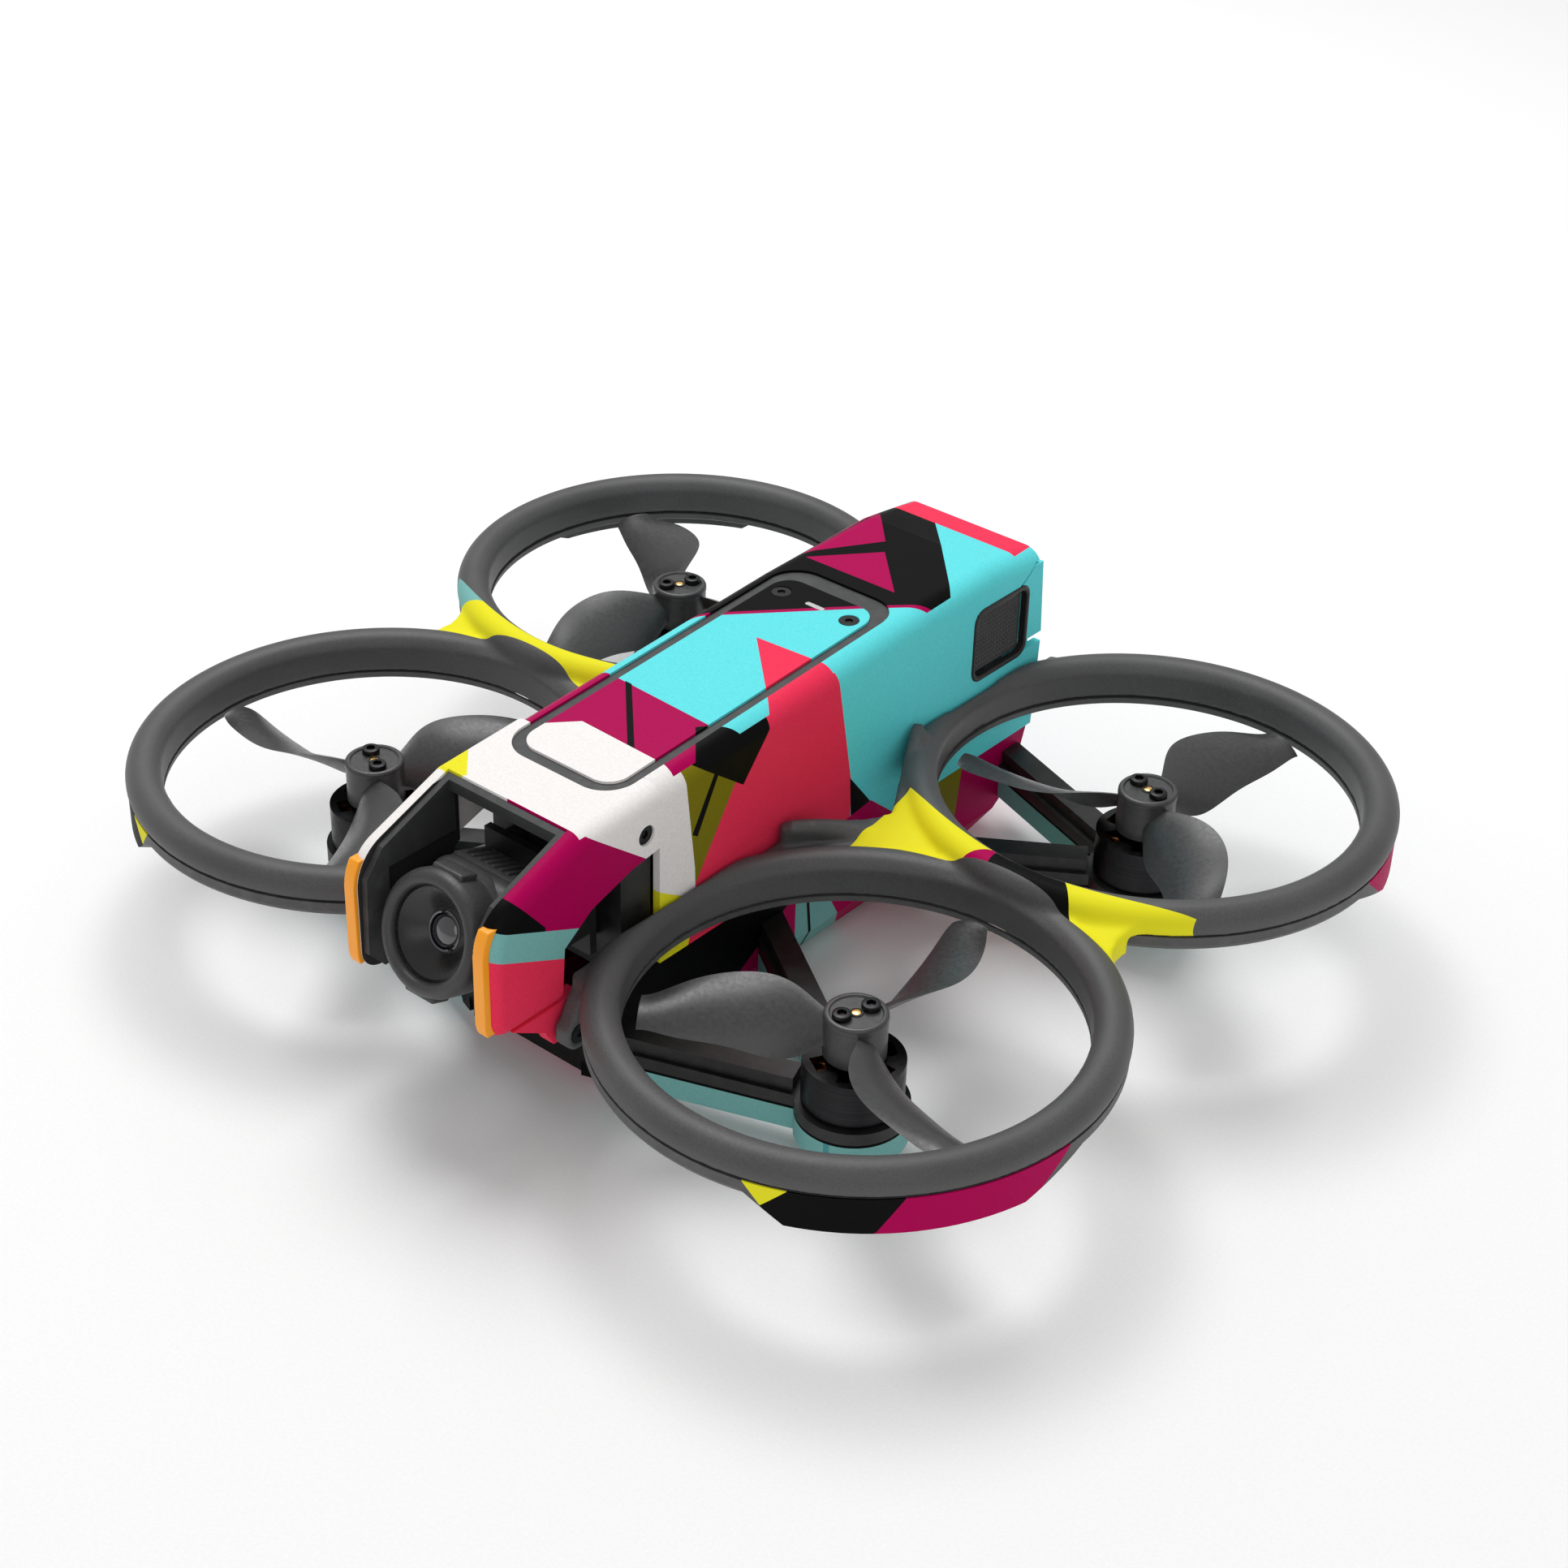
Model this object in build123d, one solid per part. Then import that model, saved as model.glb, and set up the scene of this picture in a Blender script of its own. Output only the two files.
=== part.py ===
from build123d import *
import os
from math import cos, floor, hypot, radians, sin

# A ducted racing quadcopter with a tilting nose camera. Millimetres, +Z up, nose towards -Y.
# The origin is on the ground, midway between the four motors.

# ---- layout ----
MOTOR_X = 59.75           # motor axis from the centre plane
MOTOR_Y = 43.8            # motor axis from the middle, front and rear
REAR_RISE = 3.5           # rear motors and rings stand this much higher
SEAM = 0.15               # gap between neighbouring shells
PLAY = 0.3                # gap between a moving piece and what is round it

# ---- guard rings, front ones; the rear ones are the same, raised ----
RING_IN_R = 40.0
RING_WIDTH = 6.9
RING_OUT_R = RING_IN_R + RING_WIDTH
RING_TOP = 35.2
RING_SHOULDER = 31.3      # where the domed top meets the upright walls
RING_SEAM_OUT = 29.8      # outside parting line between upper and lower ring
RING_SEAM_IN = 27.2
RING_FOOT = 25.5
RING_STEP_R = RING_IN_R + 3.0   # radius where the parting line steps
SKIRT_FOOT = 22.8
SKIRT_WALL = 2.8
SKIRT_MID_DEG = -40.0     # direction of the deep skirt round the front right ring
SKIRT_HALF = 19.7
WEB_LOW = 27.6
WEB_TOP = 33.0
WEB_RAMP = 8.0            # half the length over which the web climbs to the rear rings
WEB_FILLET = 7.0
WAIST_HALF = 10.0         # least half width of the web where the rings are nearest
FLANGE_END = 70.0         # how far the guard runs along the fuselage

# ---- fuselage ----
BODY_HALF = 17.4
BODY_FILLET = 4.0
WALL = 1.6
SHELL_FOOT = 22.0
NOSE_SEAM = -47.0
TAIL = 64.5
ROOF_FRONT = 59.9         # roof height at the nose seam
ROOF_MID_Y = 20.0
ROOF_MID = 63.4
ROOF_REAR_Y = 50.0
ROOF_REAR = 64.0
ROOF_TAIL = 62.2
BULKHEAD_Y = -55.0

# ---- belly ----
BELLY_FOOT = 1.2
BELLY_HALF = BODY_HALF - 0.6
BELLY_FRONT = -66.0
BELLY_REAR = TAIL - 2.5
PAD_R = 3.0
PAD_X = BELLY_HALF - 7.3
PAD_Y = BELLY_REAR - 22.0

# ---- nose ----
NOSE_HALF = BODY_HALF + 0.4
NOSE_FILLET = 3.0
NOSE_TIP = -88.6
PRONG_T = 3.5             # prong thickness outside the dark lining
LINING_T = 1.3
LINING_DEEP = 6.0
WINDOW_REAR = -66.4
BROW_R = 9.0              # rounding of each prong's upper front corner
LIP_R = 4.5               # and of its lower one
BUMPER_T = 0.9
BUMPER_W = 2.4
BUMPER_LOW = 29.0
BUMPER_TOP = 50.0

NOSE_SCREW_Y = -50.6
NOSE_SCREW_Z = 51.5
LUG_Y = -71.5             # guard's front foot
LUG_Z = 22.6
FOOT_R = 3.3

# ---- hatch on the roof ----
HATCH_X = BODY_HALF - 3.8
HATCH_FRONT = -55.5
HATCH_REAR = 25.2
HATCH_R = 6.5
GROOVE_SIDE = 2.2
GROOVE_FRONT = 2.8
GROOVE_REAR = 4.6
HATCH_T = 1.2
GROOVE_SINK = 0.5
HATCH_SCREW_X = HATCH_X - 5.3
HATCH_SCREW_Y = 15.5
SCREW_HEAD_R = 1.9
SCREW_SHANK_R = 0.8
LED_LENGTH = 4.4
LED_WIDTH = 1.2

# ---- arms ----
ARM_RIM = 1.1             # arm's round end beyond the motor bell
ARM_LOW = 5.2
ARM_SPLIT = 10.0
ARM_PLATE_TOP = 12.6
ARM_RIDGE_TOP = 15.4
STRUT_W = 6.6
STRUT_X = BELLY_HALF - 3.8
STRUT_A = (STRUT_X, -61.0)      # where the front strut leaves the fuselage
STRUT_B = (STRUT_X, -12.5)      # where the rear strut leaves it

# ---- motors and propellers ----
BELL_R = 9.1
ARM_END_R = BELL_R + ARM_RIM
BELL_LOW = 13.3
BELL_TOP = 21.6
BELL_WALL = 1.0
SHAFT_R = 1.5
AIR_GAP = 0.8             # between the stator's teeth and the bell's wall
STATOR_R = BELL_R - BELL_WALL - AIR_GAP
HUB_R = 5.6
HUB_TOP = 30.9
HUB_LOW = BELL_TOP + 1.0
TIP_GAP = 1.9             # between blade tips and the ring
PROP_R = RING_IN_R - TIP_GAP
PROP_MID = 27.2
BLADE_T = 1.3
BLADE_CAMBER = 0.05
PROP_SCREW_X = 2.9
PROP_SCREW_DEG = 96.0     # the two screws' line, behind the first blade's axis
PROP_SCREW_HEAD_R = 1.7
PIN_R = 0.95
# each corner: side (+1 right), end (-1 front), blade rest angle, direction of rotation
CORNERS = {
    "front_right": (1, -1, -26.0, -1),
    "front_left": (-1, -1, 66.0, 1),
    "rear_right": (1, 1, 79.0, 1),
    "rear_left": (-1, 1, 147.0, -1),
}

# ---- camera ----
YOKE_T = 1.5
CAM_Y = NOSE_TIP + 14.6
CAM_Z = 36.6
CAM_TILT = 20.0           # nose-up angle at rest
YOKE_IN = NOSE_HALF - PRONG_T - SEAM - LINING_T - 0.05 - YOKE_T    # inner face of the yoke's arms
CAM_HALF = YOKE_IN - PLAY - 0.1
CAM_BACK = 9.0
CAM_FRONT = 5.5
CAM_UP = 10.2
CAM_DOWN = 9.6
LENS_R = CAM_HALF + 0.5
LENS_LIP = 13.6           # lens ring face ahead of the tilt axis
LENS_GLASS_R = LENS_R - 3.3
TRUNNION_R = 2.2

# ---- battery ----
BATTERY_HALF = BODY_HALF - WALL - 0.9
BATTERY_LOW = 26.0
BATTERY_TOP = ROOF_TAIL - 3.6
BATTERY_FRONT = -14.0
BATTERY_REAR = TAIL + 1.7
CAP_SEAM_Y = TAIL - 7.5   # shell ends here beside the battery's cap
CAP_LOW = 43.0
BUTTON_FRONT = TAIL - 19.9
BUTTON_LOW = 41.6
BUTTON_HIGH = 55.4
BUTTON_T = 2.6
POWER_R = 3.2
POWER_Z = 47.0


# ---------------------------------------------------------------- helpers
def block(x0, x1, y0, y1, z0, z1):
    """A box between two corners."""
    middle = Location(((x0 + x1) / 2, (y0 + y1) / 2, (z0 + z1) / 2))
    return middle * Box(abs(x1 - x0), abs(y1 - y0), abs(z1 - z0))


def slab_x(points, x0, x1):
    """A closed outline in Y and Z, extruded from x0 to x1."""
    outline = make_face(Polyline(*[(x0, y, z) for y, z in points], close=True))
    return extrude(outline, amount=x1 - x0, dir=(1, 0, 0))


def slab_y(points, y0, y1):
    """A closed outline in X and Z, extruded from y0 to y1."""
    outline = make_face(Polyline(*[(x, y0, z) for x, z in points], close=True))
    return extrude(outline, amount=y1 - y0, dir=(0, 1, 0))


def slab_z(face, z0, z1):
    """A plan face raised to z0 and extruded up to z1."""
    return extrude(Pos(0, 0, z0) * face, amount=z1 - z0, dir=(0, 0, 1))


def cylinder_z(x, y, r, z0, z1):
    return Pos(x, y, (z0 + z1) / 2) * Cylinder(r, z1 - z0)


def cylinder_x(y, z, r, x0, x1):
    return Pos((x0 + x1) / 2, y, z) * Rot(0, 90, 0) * Cylinder(r, abs(x1 - x0))


def cylinder_y(x, z, r, y0, y1):
    return Pos(x, (y0 + y1) / 2, z) * Rot(90, 0, 0) * Cylinder(r, y1 - y0)


def to_corner(solid, side, end):
    """Carries a front right piece to any corner."""
    if end > 0:
        solid = Pos(0, 0, REAR_RISE) * mirror(solid, Plane.XZ)
    if side < 0:
        solid = mirror(solid, Plane.YZ)
    return solid


def save(node, *solids):
    """Writes one node, with each solid inside the given pieces kept apart."""
    pieces = [s for piece in solids for s in piece.solids()]
    export_step(Compound(children=pieces), f"parts/{node}.step")


# ---------------------------------------------------------------- roof line
def roof(y):
    """Height of the roof above the ground at y."""
    if y <= ROOF_MID_Y:
        slope = (ROOF_MID - ROOF_FRONT) / (ROOF_MID_Y - NOSE_SEAM)
        return ROOF_MID + slope * (y - ROOF_MID_Y)
    if y <= ROOF_REAR_Y:
        return ROOF_MID + (ROOF_REAR - ROOF_MID) * (y - ROOF_MID_Y) / (ROOF_REAR_Y - ROOF_MID_Y)
    return ROOF_REAR + (ROOF_TAIL - ROOF_REAR) * (y - ROOF_REAR_Y) / (TAIL - ROOF_REAR_Y)


def roof_slab(high, low, half=30.0):
    """A skin that follows the roof, from `high` to `low` below it."""
    stations = [WINDOW_REAR - 8, ROOF_MID_Y, ROOF_REAR_Y, TAIL + 4]
    upper = [(y, roof(y) - high) for y in stations]
    lower = [(y, roof(y) - low) for y in reversed(stations)]
    return slab_x(upper + lower, -half, half)


# ---------------------------------------------------------------- guards
def ring_section(points, dome=None):
    """A ring turned about the front right motor axis from an outline in radius and height."""
    edges = Polyline(*[(r, 0, z) for r, z in points])
    if dome is None:
        closing = Line((points[-1][0], 0, points[-1][1]), (points[0][0], 0, points[0][1]))
    else:
        start, end = points[-1], points[0]
        closing = ThreePointArc((start[0], 0, start[1]), (dome[0], 0, dome[1]), (end[0], 0, end[1]))
    turned = revolve(make_face(edges + closing), axis=Axis.Z)
    return Pos(MOTOR_X, -MOTOR_Y, 0) * turned


def upper_ring():
    outline = [
        (RING_OUT_R, RING_SHOULDER),
        (RING_OUT_R - 0.3, RING_SEAM_OUT + SEAM),
        (RING_STEP_R, RING_SEAM_OUT + SEAM),
        (RING_STEP_R, RING_SEAM_IN + SEAM),
        (RING_IN_R, RING_SEAM_IN + SEAM),
        (RING_IN_R, RING_SHOULDER),
    ]
    return ring_section(outline, dome=((RING_IN_R + RING_OUT_R) / 2, RING_TOP))


def lower_ring():
    edge = RING_OUT_R - 0.3
    outline = [
        (RING_IN_R + 0.3, RING_FOOT + 0.4),
        (RING_IN_R + 0.9, RING_FOOT),
        (RING_STEP_R - 0.5, RING_FOOT),
        (edge - 0.4, RING_SEAM_IN),
        (edge, RING_SEAM_IN + 0.8),
        (edge, RING_SEAM_OUT),
        (RING_STEP_R + SEAM, RING_SEAM_OUT),
        (RING_STEP_R + SEAM, RING_SEAM_IN),
        (RING_IN_R, RING_SEAM_IN),
    ]
    return ring_section(outline)


def skirt():
    """The deep part of the lower ring, on the outer side of the front right motor."""
    edge = RING_OUT_R - 0.3
    band = Circle(edge) - Circle(edge - SKIRT_WALL)
    wall = Pos(MOTOR_X, -MOTOR_Y, 0) * slab_z(band, SKIRT_FOOT, RING_SEAM_IN + 1.2)
    rim = RING_SEAM_IN + 1.2
    foot = SKIRT_FOOT
    window = [(-SKIRT_HALF - 7.0, rim), (-SKIRT_HALF, foot), (SKIRT_HALF, foot), (SKIRT_HALF + 12.0, rim)]
    outline = make_face(Polyline(*[(0, s, z) for s, z in window], close=True))
    prism = extrude(outline, amount=RING_OUT_R + 5, dir=(1, 0, 0))
    return wall & (Pos(MOTOR_X, -MOTOR_Y, 0) * Rot(0, 0, SKIRT_MID_DEG) * prism)


def web_plan():
    """Plan of the sheet that joins two rings to each other and to the fuselage, right side."""
    hug = BODY_HALF + SEAM
    disc = Circle(RING_OUT_R - 0.4)
    rings = Pos(MOTOR_X, -MOTOR_Y) * disc + Pos(MOTOR_X, MOTOR_Y) * disc
    rings += Pos(MOTOR_X, 0) * Rectangle(2 * WAIST_HALF, 2 * MOTOR_Y)
    crotch = [v for v in rings.vertices() if v.X > MOTOR_X and abs(v.Y) < MOTOR_Y - RING_IN_R]
    rings = fillet(crotch, WEB_FILLET)
    corners = [
        (hug, -FLANGE_END),
        (hug, -13.2),
        (29.5, 3.5),
        (hug, 26.0),
        (hug, FLANGE_END),
        (28.0, FLANGE_END + 3),
        (MOTOR_X, MOTOR_Y),
        (MOTOR_X, -MOTOR_Y),
        (28.0, -FLANGE_END - 3),
    ]
    flange = make_face(Polyline(*corners, close=True))
    return rings + flange


def bores(grow=0.0):
    """The clear space inside the two right-hand rings."""
    front = cylinder_z(MOTOR_X, -MOTOR_Y, RING_IN_R + grow, -5, 70)
    return front + cylinder_z(MOTOR_X, MOTOR_Y, RING_IN_R + grow, -5, 70)


def web():
    """The sheet itself, which climbs from the front rings to the rear ones."""
    far = MOTOR_Y + RING_OUT_R + 5
    low = [(-far, WEB_LOW), (-WEB_RAMP, WEB_LOW), (WEB_RAMP, WEB_LOW + REAR_RISE), (far, WEB_LOW + REAR_RISE)]
    top = [(far, WEB_TOP + REAR_RISE), (WEB_RAMP, WEB_TOP + REAR_RISE), (-WEB_RAMP, WEB_TOP), (-far, WEB_TOP)]
    sheet = slab_x(low + top, 0, MOTOR_X + RING_OUT_R + 5)
    return slab_z(web_plan(), 20, 45) & sheet


def lower_ring_zone():
    """The space that the two right-hand lower rings fill, with a seam's gap."""
    edge = RING_OUT_R + 1.0
    band = Circle(edge) - Circle(RING_STEP_R)
    front = Pos(MOTOR_X, -MOTOR_Y, 0) * slab_z(band, 0, RING_SEAM_OUT + SEAM)
    inner = Circle(RING_STEP_R + 1.0) - Circle(RING_IN_R - 1.0)
    front += Pos(MOTOR_X, -MOTOR_Y, 0) * slab_z(inner, 0, RING_SEAM_IN + SEAM)
    front &= block(0, 2 * MOTOR_X, -2 * MOTOR_Y - RING_OUT_R, 0, -1, 60)
    return front + to_corner(front, 1, 1)


def gusset():
    """The upright fin that stiffens the web against the fuselage."""
    hug = BODY_HALF + SEAM
    foot = WEB_TOP - 1.0
    outline = [(hug, 24.5, foot), (30.0, 2.0, foot), (hug, 24.5, 41.0)]
    fin = make_face(Polyline(*outline, close=True))
    return extrude(fin, amount=2.6, dir=(0.87, 0.49, 0))


def finger():
    """The rounded rib that climbs towards the fuselage side."""
    root, tip = (30.0, 3.5), (NOSE_HALF + SEAM + 1.7, -14.5)
    length = hypot(tip[0] - root[0], tip[1] - root[1])
    nx = -(tip[1] - root[1]) / length * 1.6
    ny = (tip[0] - root[0]) / length * 1.6
    bar = make_face(Polyline(
        (root[0] + nx, root[1] + ny), (tip[0] + nx, tip[1] + ny),
        (tip[0] - nx, tip[1] - ny), (root[0] - nx, root[1] - ny), close=True))
    plan = bar + Pos(*tip) * Circle(1.6)
    climb = [(6.0, WEB_TOP - 2.5), (6.0, WEB_TOP), (-10.0, 36.6), (-18.0, 37.4), (-18.0, 32.0)]
    return slab_z(plan, 20, 45) & slab_x(climb, 0, 40)


def guard_right():
    blank = upper_ring() + to_corner(upper_ring(), 1, 1) + web() + gusset() + finger()
    blank = blank - lower_ring_zone() - bores() - fuselage_block()
    return blank + guard_foot()


def fuselage_block():
    """The space beside the web that belongs to the fuselage."""
    hug = NOSE_HALF + SEAM
    return block(-hug, hug, -100, 100, -1, 80)


def guard_skirt():
    """Lower half of the front right ring."""
    ring = lower_ring() + skirt()
    other = cylinder_z(MOTOR_X, MOTOR_Y, RING_OUT_R + SEAM, -5, 70)
    ring = ring - block(0, 2 * MOTOR_X, -SEAM, 100, 0, 60)
    return ring - other - fuselage_block()


def guard_foot():
    """Leg and boss by which the guard screws to the nose, right side."""
    x0 = NOSE_HALF + SEAM
    boss = cylinder_x(LUG_Y, LUG_Z, FOOT_R, x0, x0 + 3.6)
    leg = slab_x([
        (LUG_Y - FOOT_R, LUG_Z),
        (LUG_Y + FOOT_R, LUG_Z),
        (-FLANGE_END + 6.0, WEB_LOW + 2.0),
        (-FLANGE_END - 1.0, WEB_LOW + 2.0),
    ], x0, x0 + 3.6)
    hole = cylinder_x(LUG_Y, LUG_Z, SCREW_SHANK_R + 0.05, x0 - 1, x0 + 5)
    sink = cylinder_x(LUG_Y, LUG_Z, SCREW_HEAD_R + 0.1, x0 + 2.4, x0 + 5)
    return boss + leg - hole - sink


def foot_space():
    """Notch in a front lower ring where the guard's foot comes down."""
    return block(0, NOSE_HALF + SEAM + 3.6 + SEAM, LUG_Y - 6, -FLANGE_END + 6.5, 0, 60)


def screw_x(y, z, face, side):
    """A screw driven in across the fuselage, its head just under the face given."""
    head = cylinder_x(y, z, SCREW_HEAD_R, face - 1.0, face)
    shank = cylinder_x(y, z, SCREW_SHANK_R, face - 4.6, face - 1.0)
    socket = Pos(face - 0.35, y, z) * Rot(0, 90, 0) * extrude(RegularPolygon(0.85, 6), amount=2)
    screw = head + shank - socket
    return screw if side > 0 else mirror(screw, Plane.YZ)


def side_screws():
    foot_face = NOSE_HALF + SEAM + 3.4
    screws = []
    for side in (1, -1):
        screws.append(screw_x(NOSE_SCREW_Y, NOSE_SCREW_Z, BODY_HALF - 0.1, side))
        screws.append(screw_x(LUG_Y, LUG_Z, foot_face, side))
    return screws


# ---------------------------------------------------------------- fuselage
def fuselage(inset, low):
    """The upper fuselage as one closed solid, shrunk by the wall given."""
    half = BODY_HALF - inset
    side = [
        (NOSE_SEAM + SEAM, low),
        (NOSE_SEAM + SEAM, roof(NOSE_SEAM) - inset),
        (ROOF_MID_Y, ROOF_MID - inset),
        (ROOF_REAR_Y, ROOF_REAR - inset),
        (TAIL, ROOF_TAIL - inset),
        (TAIL + 2.2, CAP_LOW),
        (TAIL + 1.0, low),
    ]
    solid = slab_x(side, -half, half)
    top_edges = [e for e in solid.edges() if e.center().Z > 59 - inset and abs(e.center().X) > half - 0.1]
    return fillet([e for e in top_edges if abs(e.tangent_at(0.5).Y) > 0.9], BODY_FILLET - inset / 2)


def rear_opening():
    """Where the battery's cap and buttons show, open to the rear."""
    outline = [
        (BUTTON_FRONT - 0.5, BUTTON_LOW - 0.5),
        (BUTTON_FRONT - 0.5, BUTTON_HIGH + 0.5),
        (CAP_SEAM_Y, BUTTON_HIGH + 0.5),
        (TAIL - 1.0, BATTERY_TOP + 1.4),
        (TAIL + 10, BATTERY_TOP + 1.4),
        (TAIL + 10, BUTTON_LOW - 0.5),
    ]
    return slab_x(outline, -30, 30)


def hatch_plan(shrink):
    """Rounded outline of the hatch; shrink 0 is the groove's outer edge, 1 its inner edge."""
    x = HATCH_X - shrink * GROOVE_SIDE
    y0 = HATCH_FRONT + shrink * GROOVE_FRONT
    y1 = HATCH_REAR - shrink * GROOVE_REAR
    return Pos(0, (y0 + y1) / 2) * RectangleRounded(2 * x, y1 - y0, HATCH_R - shrink * GROOVE_SIDE)


def hatch_recess():
    return slab_z(hatch_plan(0), 50, 70) & roof_slab(-3, HATCH_T + 0.05)


def upper_shell():
    shell = fuselage(0, SHELL_FOOT + SEAM) - fuselage(WALL, SHELL_FOOT - 5)
    inner = BODY_HALF - WALL
    front_mouth = block(-inner, inner, NOSE_SEAM - 1, NOSE_SEAM + 5, SHELL_FOOT - 1, 57.5)
    mouth_half = BATTERY_HALF + PLAY
    rear_mouth = block(-mouth_half, mouth_half, TAIL - 6, TAIL + 10, SHELL_FOOT - 1, BATTERY_TOP + 1.4)
    shell = shell - front_mouth - rear_mouth - rear_opening() - hatch_recess()
    for x in (-HATCH_SCREW_X, HATCH_SCREW_X):
        shell -= cylinder_z(x, HATCH_SCREW_Y, SCREW_SHANK_R + 0.05, 50, 70)
    led = LED_LENGTH / 2
    return shell - block(-led, led, HATCH_SCREW_Y - LED_WIDTH, HATCH_SCREW_Y + LED_WIDTH, 50, 70)


def hatch_panel():
    panel = slab_z(hatch_plan(1), 50, 70) & roof_slab(0, HATCH_T)
    for x in (-HATCH_SCREW_X, HATCH_SCREW_X):
        panel -= cylinder_z(x, HATCH_SCREW_Y, SCREW_HEAD_R + 0.1, 50, 70)
    slot = SlotOverall(LED_LENGTH + 0.1, LED_WIDTH + 0.1)
    return panel - slab_z(Pos(0, HATCH_SCREW_Y) * slot, 50, 70)


def hatch_trim():
    groove = slab_z(hatch_plan(0), 50, 70) - slab_z(hatch_plan(1), 49, 71)
    return groove & roof_slab(GROOVE_SINK, HATCH_T)


def screw_z(x, y, top):
    head = cylinder_z(x, y, SCREW_HEAD_R, top - 1.1, top)
    shank = cylinder_z(x, y, SCREW_SHANK_R, top - 4.0, top - 1.1)
    socket = Pos(x, y, top - 0.35) * extrude(RegularPolygon(0.85, 6), amount=2, both=False)
    return head + shank - socket


def status_light():
    top = roof(HATCH_SCREW_Y) - 0.1
    slot = Pos(0, HATCH_SCREW_Y) * SlotOverall(LED_LENGTH, LED_WIDTH)
    return slab_z(slot, top - 2.4, top)


# ---------------------------------------------------------------- nose
def prong_profile(grow=0.0):
    """Side outline of the nose: roof, slope, rounded front, lower lip, underside."""
    outline = Polyline(
        (0, NOSE_SEAM, roof(NOSE_SEAM) + grow),
        (0, WINDOW_REAR, roof(WINDOW_REAR) + grow),
        (0, NOSE_TIP - grow, 50.6 + grow),
        (0, NOSE_TIP - grow, 27.0 - grow),
        (0, -72.0, 27.0 - grow),
        (0, -71.2, 38.5),
        (0, -64.5, 43.2),
        (0, -54.0, 46.4),
        (0, NOSE_SEAM, 47.4),
        close=True)
    face = make_face(outline)
    brow = [v for v in face.vertices() if v.Y < NOSE_TIP + 1 and v.Z > 40]
    face = fillet(brow, BROW_R + grow)
    lip = [v for v in face.vertices() if v.Y < NOSE_TIP + 1 and v.Z < 28]
    return fillet(lip, LIP_R + grow)


def nose_slab(grow, x0, x1):
    return extrude(Pos(x0, 0, 0) * prong_profile(grow), amount=x1 - x0, dir=(1, 0, 0))


def nose_blank():
    blank = nose_slab(0.0, -NOSE_HALF, NOSE_HALF)
    outer = []
    for edge in blank.edges():
        middle = edge.center()
        on_flank = abs(middle.X) > NOSE_HALF - 0.5 and middle.Y < NOSE_SEAM - 0.5
        if on_flank and (middle.Z > 47.5 or middle.Y < NOSE_TIP + 3):
            outer.append(edge)
    return fillet(outer, NOSE_FILLET)


def nose_frame():
    inner = NOSE_HALF - PRONG_T
    window = block(-inner, inner, NOSE_TIP - 5, WINDOW_REAR, 10, 70)
    bay = block(-inner, inner, WINDOW_REAR - 1, NOSE_SEAM + 1, 10, roof(WINDOW_REAR) - 3.2)
    wide = BODY_HALF - WALL
    hollow = block(-wide, wide, WINDOW_REAR + 2.0, NOSE_SEAM + 1, 10, roof(WINDOW_REAR) - 2.0)
    frame = nose_blank() + lug(1) + lug(-1) - window - bay - hollow - hatch_recess()
    for side in (-1, 1):
        seat = side * (BODY_HALF - 1.1)
        frame -= cylinder_x(NOSE_SCREW_Y, NOSE_SCREW_Z, SCREW_HEAD_R + 0.1, seat, side * 25)
        frame -= cylinder_x(NOSE_SCREW_Y, NOSE_SCREW_Z, SCREW_SHANK_R + 0.05, side * 10, side * 25)
        frame -= cylinder_x(LUG_Y, LUG_Z, SCREW_SHANK_R + 0.05, side * 10, side * 25)
    return frame


def lug(side):
    """Tongue below each prong that the guard's front foot screws to."""
    outline = [
        (NOSE_TIP + 5.0, 27.5),
        (LUG_Y + 4.0, 27.5),
        (LUG_Y + 3.0, LUG_Z - 3.0),
        (LUG_Y - 2.5, LUG_Z - 3.0),
        (LUG_Y - 4.5, LUG_Z + 0.5),
    ]
    return slab_x(outline, *sorted((side * (NOSE_HALF - PRONG_T), side * BODY_HALF)))


def nose_trim():
    """Dark lining of the camera window."""
    outer = NOSE_HALF - PRONG_T - SEAM
    inner = outer - LINING_T
    outline = [
        (WINDOW_REAR - SEAM, roof(WINDOW_REAR) - 0.5),
        (NOSE_TIP + 4.9, 51.6),
        (NOSE_TIP + 0.9, 46.6),
        (NOSE_TIP + 0.4, 31.4),
        (NOSE_TIP + 3.9, 27.5),
        (-72.6, 27.5),
        (-71.9, 38.9),
        (-65.0, 43.8),
        (WINDOW_REAR - SEAM, 44.4),
    ]
    lining = slab_x(outline, -outer, outer)
    lining -= block(-inner, inner, NOSE_TIP - 5, WINDOW_REAR - SEAM - 1.2, 20, 70)
    lining -= block(-inner, inner, -100, WINDOW_REAR + 1, 20, roof(WINDOW_REAR) - 3.2)
    return lining - block(-30, 30, NOSE_TIP + LINING_DEEP, -40, 20, CAM_Z + 10.5)


def bumper(side):
    x0 = NOSE_HALF - PRONG_T + 0.1
    strip = nose_slab(BUMPER_T, x0, x0 + BUMPER_W) - nose_blank()
    strip &= block(0, 2 * NOSE_HALF, NOSE_TIP - 5, NOSE_TIP + 3.0, BUMPER_LOW, BUMPER_TOP)
    return strip if side > 0 else mirror(strip, Plane.YZ)


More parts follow.
